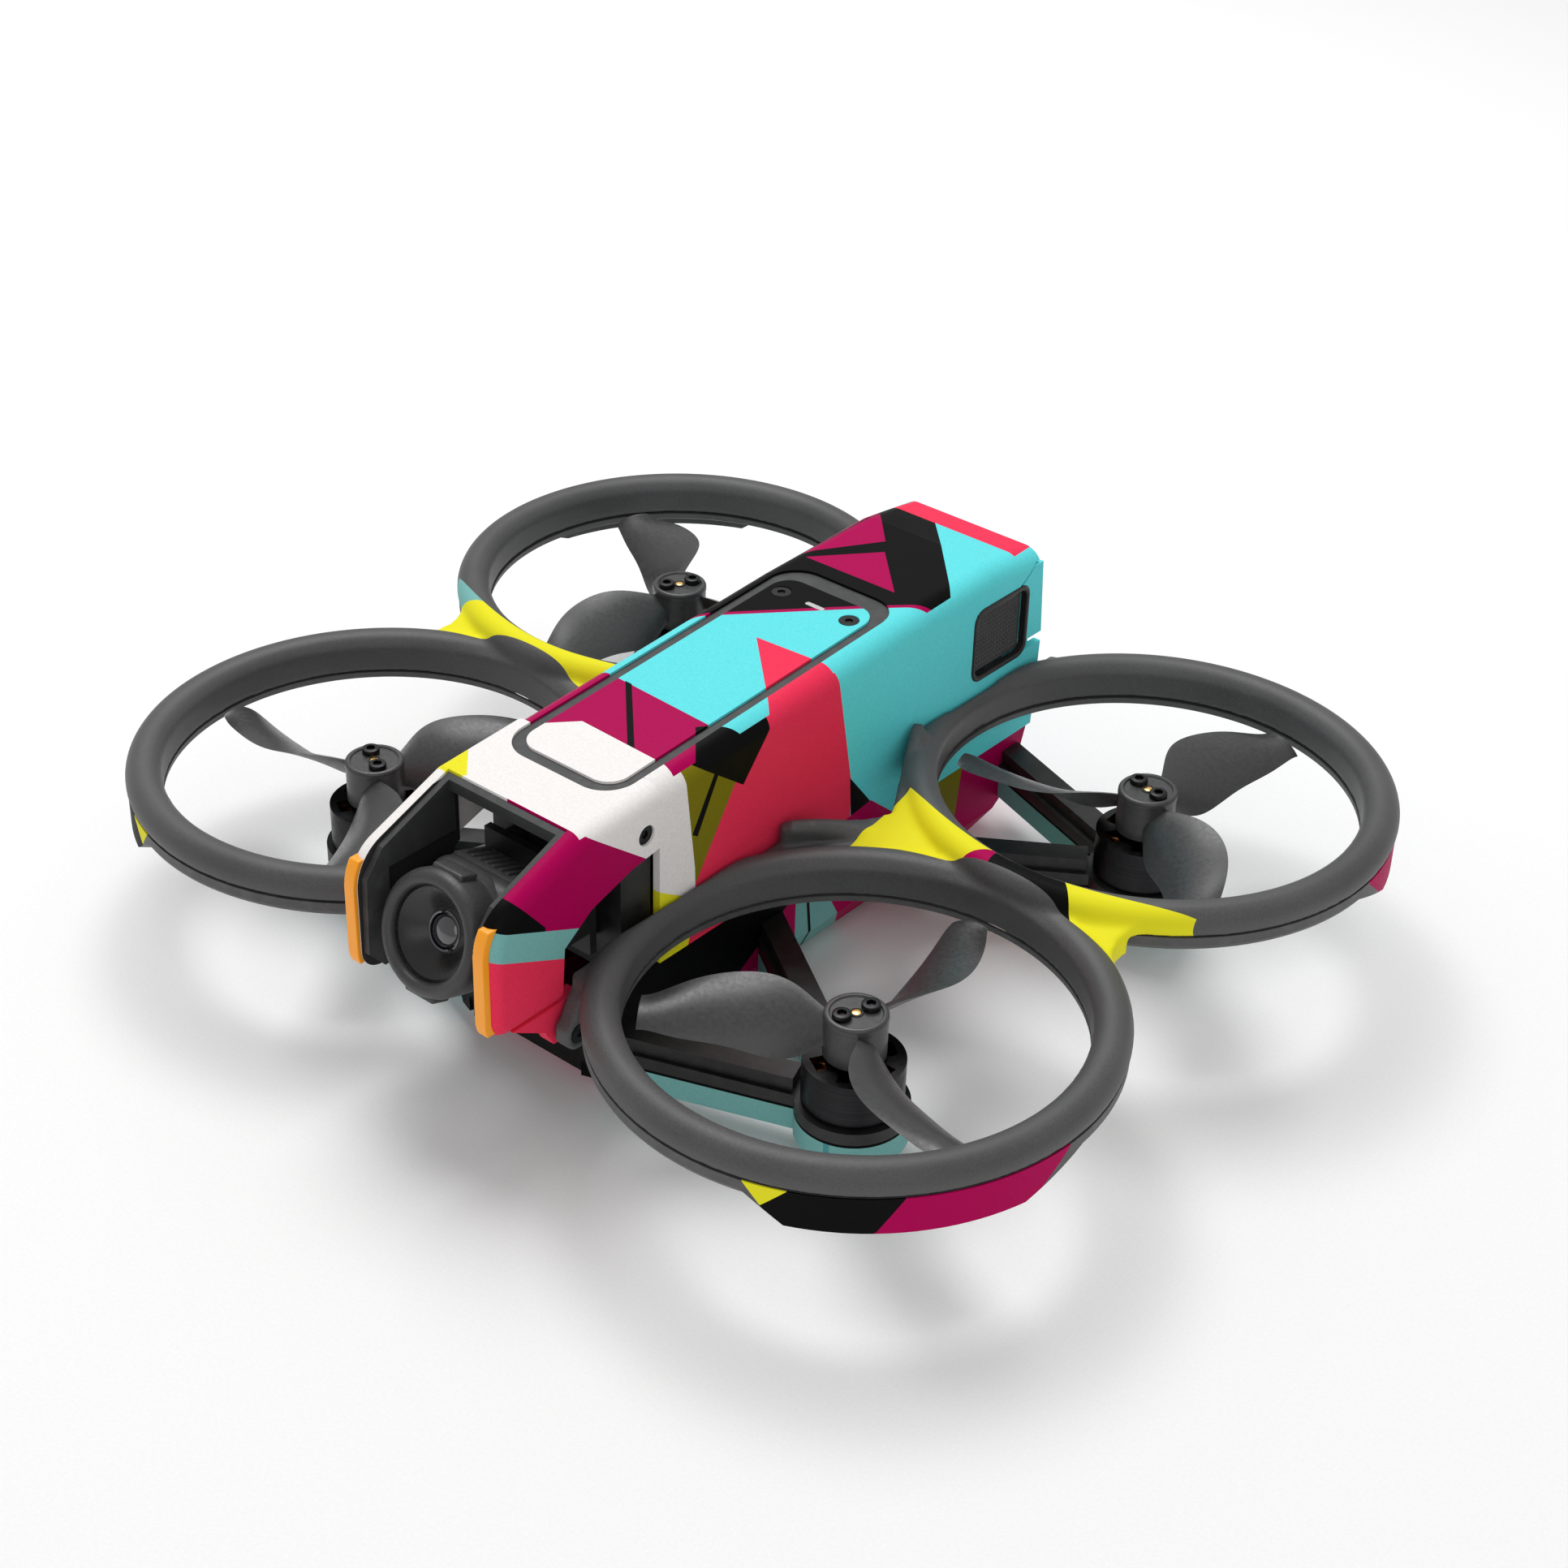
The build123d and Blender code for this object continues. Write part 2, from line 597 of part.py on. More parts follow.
# ---------------------------------------------------------------- belly and arms
def strut_plan(start, width, stop_r):
    """Plan of one strut from the fuselage to the rim of the motor mount."""
    dx, dy = MOTOR_X - start[0], -MOTOR_Y - start[1]
    length = hypot(dx, dy)
    ux, uy = dx / length, dy / length
    reach = length - stop_r
    nx, ny = -uy * width / 2, ux * width / 2
    ends = [(0, 1), (reach, 1), (reach, -1), (0, -1)]
    points = [(start[0] + ux * s + nx * t, start[1] + uy * s + ny * t) for s, t in ends]
    return make_face(Polyline(*points, close=True))


def arm_plan(width):
    plan = strut_plan(STRUT_A, width, 2.0) + strut_plan(STRUT_B, width, 2.0)
    return plan + Pos(MOTOR_X, -MOTOR_Y) * Circle(ARM_END_R)


def belly_void():
    """The space that the fuselage takes from the arms."""
    half = BELLY_HALF + SEAM
    return block(-half, half, -100, 100, -1, 80)


def arm_cover():
    """Upper half of the front right arm."""
    plate = slab_z(arm_plan(STRUT_W), ARM_SPLIT + SEAM, ARM_PLATE_TOP)
    ridges = strut_plan(STRUT_A, STRUT_W - 1.8, ARM_END_R) + strut_plan(STRUT_B, STRUT_W - 1.8, ARM_END_R)
    ridge = slab_z(ridges, ARM_PLATE_TOP - 0.5, ARM_RIDGE_TOP)
    cover = plate + ridge - belly_void()
    return cover - cylinder_z(MOTOR_X, -MOTOR_Y, 2.2, 0, 30)


def arm_tray():
    """Lower half of the front right arm."""
    return slab_z(arm_plan(STRUT_W), ARM_LOW, ARM_SPLIT)


def belly_side(inset):
    """Side outline of the belly."""
    return [
        (BELLY_FRONT + inset, 15.0),
        (BELLY_FRONT + 3 + inset, 5.0 + inset * 0.5),
        (BELLY_FRONT + 10 + inset, BELLY_FOOT + inset),
        (BELLY_REAR - 14 - inset, BELLY_FOOT + inset),
        (BELLY_REAR - 1 - inset, 10.0 + inset * 0.5),
        (BELLY_REAR + 3 - inset, SHELL_FOOT),
        (BELLY_FRONT + 6 + inset, SHELL_FOOT),
    ]


def belly(inset):
    half = BELLY_HALF - inset
    foot = half - 2.5
    across = [(-foot, BELLY_FOOT - 1), (-foot, BELLY_FOOT + inset)]
    across += [(-half, 6.0 + inset), (-half, SHELL_FOOT + 1)]
    across += [(-x, z) for x, z in reversed(across)]
    return slab_x(belly_side(inset), -half, half) & slab_y(across, -90, 90)


def lower_frame():
    """Belly tray with the lower halves of the four arms."""
    frame = belly(0)
    for side, end in ((1, -1), (1, 1), (-1, -1), (-1, 1)):
        frame += to_corner(arm_tray(), side, end)
    hollow = belly(WALL) + (Pos(0, 0, 3) * belly(WALL))
    return frame - hollow


def belly_pads():
    return [cylinder_z(x, y, PAD_R, 0, BELLY_FOOT) for x in (-PAD_X, PAD_X) for y in (-PAD_Y, PAD_Y)]


def bulkhead():
    """Upright wall behind the camera, which carries the dampers and closes the fuselage."""
    half = BODY_HALF - WALL - 0.2
    wall = block(-half, half, BULKHEAD_Y, BULKHEAD_Y + 1.6, SHELL_FOOT + 0.3, roof(BULKHEAD_Y) - 5.0)
    foot = block(-half, half, BULKHEAD_Y, BULKHEAD_Y + 9.0, SHELL_FOOT + 0.3, SHELL_FOOT + 1.9)
    cheeks = []
    for side in (-1, 1):
        x0, x1 = sorted((side * (half - 1.4), side * half))
        cheeks.append(block(x0, x1, BULKHEAD_Y, NOSE_SEAM - 0.4, SHELL_FOOT + 0.3, 46.0))
    return wall + foot + cheeks[0] + cheeks[1]


# ---------------------------------------------------------------- motors and propellers
def motor_stator():
    base = cylinder_z(MOTOR_X, -MOTOR_Y, BELL_R - 1.5, ARM_PLATE_TOP, BELL_LOW - PLAY)
    tube = cylinder_z(MOTOR_X, -MOTOR_Y, 2.6, ARM_PLATE_TOP, BELL_TOP - 2.2)
    core = cylinder_z(MOTOR_X, -MOTOR_Y, STATOR_R - 1.8, BELL_LOW + 1.0, BELL_TOP - 2.6)
    teeth = []
    for k in range(9):
        tooth = block(2.0, STATOR_R, -0.9, 0.9, BELL_LOW + 1.0, BELL_TOP - 2.6)
        teeth.append(Pos(MOTOR_X, -MOTOR_Y, 0) * Rot(0, 0, 40 * k) * tooth)
    body = base + tube + core
    for tooth in teeth:
        body += tooth
    return body - cylinder_z(MOTOR_X, -MOTOR_Y, SHAFT_R + 0.05, 0, 40)


def motor_bell():
    """Rotating can, open below, with windows in its top and the shaft."""
    can = cylinder_z(MOTOR_X, -MOTOR_Y, BELL_R, BELL_LOW, BELL_TOP)
    can -= cylinder_z(MOTOR_X, -MOTOR_Y, BELL_R - BELL_WALL, BELL_LOW - 1, BELL_TOP - 1.4)
    for k in range(6):
        gap = block(HUB_R - 0.7, BELL_R - 1.5, -1.9, 1.9, BELL_TOP - 3, BELL_TOP + 1)
        can -= Pos(MOTOR_X, -MOTOR_Y, 0) * Rot(0, 0, 60 * k) * gap
    seat = cylinder_z(MOTOR_X, -MOTOR_Y, HUB_R - 1.2, BELL_TOP - 1.4, HUB_LOW)
    shaft = cylinder_z(MOTOR_X, -MOTOR_Y, SHAFT_R, BELL_LOW - 0.2, BELL_TOP)
    return can + seat + shaft


def blade_section(r, chord, pitch, sweep_back, rise):
    """One cambered blade section, between two arcs, at radius r."""
    across = (0, cos(radians(pitch)), sin(radians(pitch)))
    plane = Plane(origin=(r, -sweep_back, rise), x_dir=across, z_dir=(1, 0, 0))
    half = chord / 2
    camber = BLADE_CAMBER * chord
    over = ThreePointArc((-half, 0, 0), (-half * 0.15, camber + BLADE_T / 2, 0), (half, 0, 0))
    under = ThreePointArc((half, 0, 0), (-half * 0.15, camber - BLADE_T / 2, 0), (-half, 0, 0))
    return plane * make_face(over + under)


def blade():
    """Place from root to tip, chord, pitch, sweep and rise of each station."""
    stations = [
        (0.0, 5.6, 52.0, 0.2, 0.0),
        (0.116, 9.0, 48.0, -0.6, -0.2),
        (0.25, 13.6, 42.0, -1.9, -0.5),
        (0.429, 14.8, 33.0, -2.9, -0.2),
        (0.607, 13.6, 27.0, -2.6, 0.2),
        (0.786, 11.4, 22.0, -1.2, 0.3),
        (1.0, 7.6, 15.0, 1.0, 0.6),
    ]
    root, tip = HUB_R - 2.0, PROP_R - 0.9
    return loft([blade_section(root + (tip - root) * share, *rest) for share, *rest in stations])


def propeller(rest, turn):
    """Three blades on a hub, at the front right corner, nut holes through the hub."""
    middle = (HUB_TOP + HUB_LOW) / 2
    hub = Pos(0, 0, middle) * Cylinder(HUB_R, HUB_TOP - HUB_LOW)
    hub = fillet(hub.edges().sort_by(Axis.Z)[-1], 0.6)
    one = Pos(0, 0, PROP_MID) * blade()
    for k in range(3):
        hub += Rot(0, 0, 120 * k) * one
    hub -= Pos(0, 0, HUB_TOP) * Cylinder(PIN_R + 0.05, 4)
    if turn < 0:
        hub = mirror(hub, Plane.YZ)
    hub = Rot(0, 0, rest if turn > 0 else rest + 180) * hub
    for x in (-PROP_SCREW_X, PROP_SCREW_X):
        bore = cylinder_z(x, 0, 0.75, HUB_LOW - 1, HUB_TOP + 1)
        hub -= Rot(0, 0, rest - PROP_SCREW_DEG * turn) * bore
    return hub


def prop_screws(rest, turn):
    pieces = []
    for x in (-PROP_SCREW_X, PROP_SCREW_X):
        head = cylinder_z(x, 0, PROP_SCREW_HEAD_R, HUB_TOP, HUB_TOP + 1.0)
        shank = cylinder_z(x, 0, 0.7, HUB_LOW, HUB_TOP)
        socket = Pos(x, 0, HUB_TOP + 0.3) * extrude(RegularPolygon(0.75, 6), amount=2)
        pieces.append(Rot(0, 0, rest - PROP_SCREW_DEG * turn) * (head + shank - socket))
    return pieces


def centre_pin():
    return cylinder_z(0, 0, PIN_R, HUB_TOP - 1.9, HUB_TOP + 0.15)


# ---------------------------------------------------------------- camera
def tilt_camera(solid):
    """Carries a piece from level about the tilt axis to its place at rest."""
    return Pos(0, CAM_Y, CAM_Z) * Rot(-CAM_TILT, 0, 0) * solid


def camera_blank():
    outline = [
        (-CAM_FRONT, -CAM_DOWN), (-CAM_FRONT, CAM_UP - 2.0), (-CAM_FRONT + 2.0, CAM_UP),
        (CAM_BACK - 3.0, CAM_UP), (CAM_BACK, CAM_UP - 3.0), (CAM_BACK, -CAM_DOWN + 3.0),
        (CAM_BACK - 3.0, -CAM_DOWN),
    ]
    return slab_x(outline, -CAM_HALF, CAM_HALF)


def cover_split():
    """The part of the camera block that belongs to its ribbed rear cover."""
    return block(-30, 30, 1.6, 30, 2.0, 30)


def camera_body():
    barrel = cylinder_y(0, 0, LENS_R - 0.8, -LENS_LIP + 2.4, -CAM_FRONT + 2)
    body = camera_blank() - cover_split() + barrel
    body -= cylinder_y(0, 0, LENS_GLASS_R + 0.1, -LENS_LIP - 1, -LENS_LIP + 4.4)
    for side in (-1, 1):
        body -= cylinder_x(0, 0, TRUNNION_R + 0.06, side * (CAM_HALF - 1.5), side * (CAM_HALF + 2))
    return body


def camera_cover():
    cover = camera_blank() & block(-30, 30, 1.6 + SEAM, 30, 2.0 + SEAM, 30)
    for k in range(9):
        x = -7.2 + 1.8 * k
        cover -= block(x - 0.35, x + 0.35, 1.5, 7.0, CAM_UP - 0.8, CAM_UP + 1)
    return cover


def lens_ring():
    ring = cylinder_y(0, 0, LENS_R, -LENS_LIP, -LENS_LIP + 2.25)
    ring -= cylinder_y(0, 0, LENS_GLASS_R + 0.1, -LENS_LIP - 1, -LENS_LIP + 4)
    tab = block(-4.5, 4.5, -LENS_LIP + 0.3, -LENS_LIP + 2.25, -LENS_R - 1.0, -LENS_R + 1.4)
    return ring + Rot(0, -25, 0) * tab - cylinder_y(0, 0, LENS_GLASS_R + 0.1, -LENS_LIP - 1, -LENS_LIP + 4)


def lens_glass():
    glass = cylinder_y(0, 0, LENS_GLASS_R, -LENS_LIP + 0.9, -LENS_LIP + 4.3)
    return glass - Pos(0, -LENS_LIP - 12.3, 0) * Sphere(14.5)


def yoke():
    """Fork that holds the camera on the tilt axis, with a back plate on rubber dampers."""
    arm_x = YOKE_IN
    back = block(-arm_x - YOKE_T, arm_x + YOKE_T, BULKHEAD_Y - 4.9, BULKHEAD_Y - 3.3, CAM_Z - 8, CAM_Z + 8)
    fork = back
    for side in (-1, 1):
        x0, x1 = sorted((side * arm_x, side * (arm_x + YOKE_T)))
        fork += block(x0, x1, CAM_Y - 3.2, BULKHEAD_Y - 3.3, CAM_Z - 3.2, CAM_Z + 3.2)
        fork += cylinder_x(CAM_Y, CAM_Z, 4.6, x0, x1)
        fork += cylinder_x(CAM_Y, CAM_Z, TRUNNION_R, *sorted((side * (CAM_HALF - 1.2), side * arm_x)))
    return fork


def gimbal_motor():
    face = -(YOKE_IN + YOKE_T)
    return cylinder_x(CAM_Y, CAM_Z, 4.4, face - 0.9, face)


def dampers():
    balls = []
    for x in (-8.5, 8.5):
        for z in (CAM_Z - 6, CAM_Z + 6):
            waist = cylinder_y(x, z, 1.3, BULKHEAD_Y - 3.3, BULKHEAD_Y)
            balls.append(waist + cylinder_y(x, z, 2.0, BULKHEAD_Y - 2.5, BULKHEAD_Y - 0.8))
    return balls


# ---------------------------------------------------------------- battery
def battery_case():
    """Sliding pack with a rear cap that closes the tail and carries the buttons."""
    body = block(-BATTERY_HALF, BATTERY_HALF, BATTERY_FRONT, BATTERY_REAR - 2, BATTERY_LOW, BATTERY_TOP)
    cap_side = [
        (CAP_SEAM_Y + PLAY, CAP_LOW + PLAY),
        (CAP_SEAM_Y + PLAY, BUTTON_HIGH - 0.2),
        (TAIL - 1.4, BATTERY_TOP + 0.9),
        (TAIL + 1.0, BATTERY_TOP + 0.9),
        (BATTERY_REAR + 0.4, CAP_LOW + PLAY),
    ]
    cap = slab_x(cap_side, -BODY_HALF, BODY_HALF)
    lower_cap = block(-BATTERY_HALF, BATTERY_HALF, TAIL - 6, BATTERY_REAR - 0.4, BATTERY_LOW, CAP_LOW + 1)
    case = body + cap + lower_cap
    case -= battery_hollow()
    for side in (-1, 1):
        case -= button_pocket(side)
    return case - cylinder_y(0, POWER_Z, POWER_R + PLAY, BATTERY_REAR - 3.0, BATTERY_REAR + 4) - led_slots()


def battery_hollow():
    half = BATTERY_HALF - 3.4
    return block(-half, half, BATTERY_FRONT + 1.4, BATTERY_REAR - 7, BATTERY_LOW + 1.4, BATTERY_TOP - 1.4)


def button_pocket(side):
    x0, x1 = sorted((side * (BATTERY_HALF - 2.6), side * 30))
    return block(x0, x1, BUTTON_FRONT - PLAY, CAP_SEAM_Y + 3.6, BUTTON_LOW - PLAY, BUTTON_HIGH + PLAY)


def button_outline(inset):
    y0, y1 = BUTTON_FRONT + inset, CAP_SEAM_Y + 3.3 - inset
    z0, z1 = BUTTON_LOW + inset, BUTTON_HIGH - inset
    return [(y0, z0), (y0, z1 - 2.5), (y0 + 2.5, z1), (y1, z1), (y1, z0)]


def release_button(side):
    plate = slab_x(button_outline(0), BATTERY_HALF - 0.9, BATTERY_HALF - 0.9 + BUTTON_T)
    for i in range(6):
        for j in range(5):
            y = BUTTON_FRONT + 3.0 + 2.0 * i
            z = BUTTON_LOW + 2.6 + 2.0 * j
            plate += block(BATTERY_HALF - 0.9 + BUTTON_T - 0.2, BATTERY_HALF - 0.9 + BUTTON_T + 0.35,
                           y - 0.6, y + 0.6, z - 0.6, z + 0.6)
    return plate if side > 0 else mirror(plate, Plane.YZ)


def battery_cells():
    half = BATTERY_HALF - 3.7
    cells = []
    z0 = BATTERY_LOW + 1.7
    height = (BATTERY_TOP - 1.7 - z0) / 4
    for k in range(4):
        cells.append(block(-half, half, BATTERY_FRONT + 1.8, BATTERY_REAR - 8,
                           z0 + k * height + 0.1, z0 + (k + 1) * height - 0.1))
    return cells


def power_button():
    return cylinder_y(0, POWER_Z, POWER_R, BATTERY_REAR - 1.6, BATTERY_REAR + 0.6)


def led_slots(grow=0.05):
    slots = Part()
    for k in range(4):
        x = -4.5 + 3.0 * k
        z0, z1 = POWER_Z + 5.6 - grow, POWER_Z + 6.4 + grow
        slots += block(x - 0.9 - grow, x + 0.9 + grow, BATTERY_REAR - 2.0, BATTERY_REAR + 2, z0, z1)
    return slots


def battery_leds():
    lights = []
    for k in range(4):
        x = -4.5 + 3.0 * k
        y0, y1 = BATTERY_REAR - 2.0, BATTERY_REAR - 0.7
        lights.append(block(x - 0.9, x + 0.9, y0, y1, POWER_Z + 5.6, POWER_Z + 6.4))
    return lights


# ---------------------------------------------------------------- electronics and sensors
BOARD_Z = 22.6
BOARD_T = 1.4
BOARD_HALF = BODY_HALF - WALL - 2.8
FAN_R = 9.5
FAN_HALF = FAN_R + 1.5


def main_board():
    board = block(-BOARD_HALF, BOARD_HALF, -45.0, BELLY_REAR - 10.0, BOARD_Z, BOARD_Z + BOARD_T)
    chips = []
    for y in (-30.0, 2.0, 34.0):
        chips.append(block(-5.0, 5.0, y - 5.0, y + 5.0, BOARD_Z - 1.4, BOARD_Z))
    for chip in chips:
        board += chip
    return board


def heat_sink():
    half = BOARD_HALF - 1.0
    plate = block(-half, half, -44.0, -20.0, BOARD_Z + BOARD_T, BOARD_Z + BOARD_T + 1.4)
    count = floor((2 * half - 1.6) / 2.8 + 0.001) + 1
    for k in range(count):
        x = 2.8 * (k - (count - 1) / 2)
        plate += block(x - 0.5, x + 0.5, -44.0, -20.0, BOARD_Z + BOARD_T + 1.4, BOARD_Z + BOARD_T + 6.0)
    return plate


def cooling_fan():
    z0 = BOARD_Z + BOARD_T + 6.3
    frame = block(-FAN_HALF, FAN_HALF, -32.0 - FAN_HALF, -32.0 + FAN_HALF, z0, z0 + 6.0)
    frame -= cylinder_z(0, -32.0, FAN_R, z0 - 1, z0 + 7)
    hub = cylinder_z(0, -32.0, 3.2, z0 + 0.6, z0 + 5.4)
    for k in range(7):
        vane = block(2.5, FAN_R - 0.6, -0.4, 0.4, z0 + 1.0, z0 + 5.0)
        hub += Pos(0, -32.0, 0) * Rot(0, 0, 360 * k / 7) * vane
    spokes = block(-FAN_R - 0.5, FAN_R + 0.5, -32.8, -31.2, z0, z0 + 0.5)
    return [frame + spokes, hub]


def antennas():
    strips = []
    for side in (-1, 1):
        x0, x1 = sorted((side * (BATTERY_HALF - 1.3), side * (BATTERY_HALF - 0.3)))
        strips.append(block(x0, x1, -44.0, -24.0, 38.0, 52.0))
    return strips


def sensor_windows():
    """Two downward lenses and one ranging window, flush in the belly."""
    lenses = []
    for y in (-14.0, 6.0):
        lenses.append(cylinder_z(0, y, 3.4, BELLY_FOOT - 0.4, BELLY_FOOT + WALL + 0.8))
    lenses.append(block(-4.0, 4.0, -7.0, -1.0, BELLY_FOOT - 0.4, BELLY_FOOT + WALL + 0.8))
    return lenses


def sensor_holes():
    holes = block(-4.05, 4.05, -7.05, -0.95, -1, BELLY_FOOT + WALL + 2)
    for y in (-14.0, 6.0):
        holes += cylinder_z(0, y, 3.45, -1, BELLY_FOOT + WALL + 2)
    return holes


def usb_port():
    shell = block(-4.5, 4.5, BELLY_REAR - 6.0, BELLY_REAR + 2.4, 16.6, 19.8)
    return shell - block(-3.9, 3.9, BELLY_REAR - 4.0, BELLY_REAR + 5, 17.2, 19.2)


def usb_hole():
    return block(-4.55, 4.55, BELLY_REAR - 7.0, BELLY_REAR + 8, 16.55, 19.85)


def battery_contacts():
    pins = []
    for k in range(5):
        x = -6.0 + 3.0 * k
        pins.append(block(x - 0.8, x + 0.8, BATTERY_FRONT - 6.0, BATTERY_FRONT - PLAY, 34.0, 38.0))
    return pins


def contact_block():
    """Socket that the battery's front end plugs up to."""
    socket = block(-9.0, 9.0, BATTERY_FRONT - 5.0, BATTERY_FRONT - 0.6, BOARD_Z + BOARD_T, 40.0)
    for k in range(5):
        x = -6.0 + 3.0 * k
        socket -= block(x - 0.85, x + 0.85, BATTERY_FRONT - 7.0, BATTERY_FRONT, 33.95, 38.05)
    return socket


# ---------------------------------------------------------------- writing
os.makedirs("parts", exist_ok=True)

save("upper_shell", upper_shell())
save("lower_frame", lower_frame() - sensor_holes() - usb_hole())
save("belly_pads", *belly_pads())
save("bulkhead", bulkhead())
save("nose_frame", nose_frame())
save("nose_trim", nose_trim())
save("bumper_right", bumper(1))
save("bumper_left", bumper(-1))
save("hatch_panel", hatch_panel())
save("hatch_trim", hatch_trim())
hatch_screw_top = roof(HATCH_SCREW_Y) - 0.05
save("hatch_screws", *[screw_z(x, HATCH_SCREW_Y, hatch_screw_top) for x in (-HATCH_SCREW_X, HATCH_SCREW_X)])
save("status_light", status_light())

save("side_screws", *side_screws())
save("guard_right", guard_right())
save("guard_left", mirror(guard_right(), Plane.YZ))

for corner, (side, end, rest, turn) in CORNERS.items():
    x, y, rise = side * MOTOR_X, end * MOTOR_Y, REAR_RISE if end > 0 else 0.0
    here = Pos(x, y, rise)
    skirt_here = guard_skirt() if end > 0 else guard_skirt() - foot_space()
    save(f"guard_skirt_{corner}", to_corner(skirt_here, side, end))
    save(f"arm_cover_{corner}", to_corner(arm_cover(), side, end))
    save(f"motor_stator_{corner}", to_corner(motor_stator(), side, end))
    save(f"motor_bell_{corner}", to_corner(motor_bell(), side, end))
    save(f"propeller_{corner}", here * propeller(rest, turn))
    save(f"propeller_screws_{corner}", *[here * s for s in prop_screws(rest, turn)], here * centre_pin())

save("camera_body", tilt_camera(camera_body()))
save("camera_cover", tilt_camera(camera_cover()))
save("lens_ring", tilt_camera(lens_ring()))
save("lens_glass", tilt_camera(lens_glass()))
save("gimbal_yoke", yoke())
save("gimbal_motor", gimbal_motor())
save("gimbal_dampers", *dampers())

save("battery_case", battery_case())
save("battery_cells", *battery_cells())
save("release_button_right", release_button(1))
save("release_button_left", release_button(-1))
save("power_button", power_button())
save("battery_leds", *battery_leds())
save("battery_contacts", *battery_contacts())
save("contact_block", contact_block())

save("main_board", main_board())
save("heat_sink", heat_sink())
save("cooling_fan", *cooling_fan())
save("antennas", *antennas())
save("sensor_windows", *sensor_windows())
save("usb_port", usb_port())
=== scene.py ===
from math import cos, hypot, pi, radians, sin

import bmesh
import bpy
from mathutils import Matrix, Vector


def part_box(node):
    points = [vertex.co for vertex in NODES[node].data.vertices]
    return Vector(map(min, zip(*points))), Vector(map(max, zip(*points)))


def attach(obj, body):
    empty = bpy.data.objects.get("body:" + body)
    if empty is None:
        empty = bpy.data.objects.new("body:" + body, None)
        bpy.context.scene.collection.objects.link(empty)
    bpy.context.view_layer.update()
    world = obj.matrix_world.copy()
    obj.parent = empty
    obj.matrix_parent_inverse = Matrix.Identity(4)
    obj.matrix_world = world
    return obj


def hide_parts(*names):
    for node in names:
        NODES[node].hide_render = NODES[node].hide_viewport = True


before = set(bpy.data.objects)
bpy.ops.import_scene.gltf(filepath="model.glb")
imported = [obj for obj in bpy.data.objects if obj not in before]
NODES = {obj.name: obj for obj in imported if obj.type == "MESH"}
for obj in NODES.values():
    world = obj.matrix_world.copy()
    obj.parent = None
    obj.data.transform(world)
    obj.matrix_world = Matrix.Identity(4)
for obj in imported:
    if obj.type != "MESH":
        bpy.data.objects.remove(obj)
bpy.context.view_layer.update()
MM = 0.001

# Layout, in millimetres, in the frame's own axes: +Z up, nose towards -Y, ground at z = 0.
MOTOR_X = 59.75
MOTOR_Y = 43.8
REAR_RISE = 3.5
CAP_SEAM_Y = 57.0
CORNERS = {
    "front_right": (1, -1),
    "front_left": (-1, -1),
    "rear_right": (1, 1),
    "rear_left": (-1, 1),
}

# Linear colours
TURQUOISE = (0.122, 0.708, 0.745)
DEEP_TEAL = (0.085, 0.315, 0.33)
DULL_TEAL = (0.19, 0.45, 0.43)
CRIMSON = (0.402, 0.001, 0.082)
CORAL = (0.84, 0.035, 0.094)
YELLOW = (0.80, 0.75, 0.022)
OLIVE = (0.205, 0.178, 0.007)
WHITE = (0.85, 0.82, 0.80)
BLACK = (0.004, 0.004, 0.004)
GREY = (0.073, 0.073, 0.074)
FILM_SPECULAR = 0.04
BARE_DARK = (0.03, 0.03, 0.031)
FLANK_X = 17.4  # outer face of the fuselage


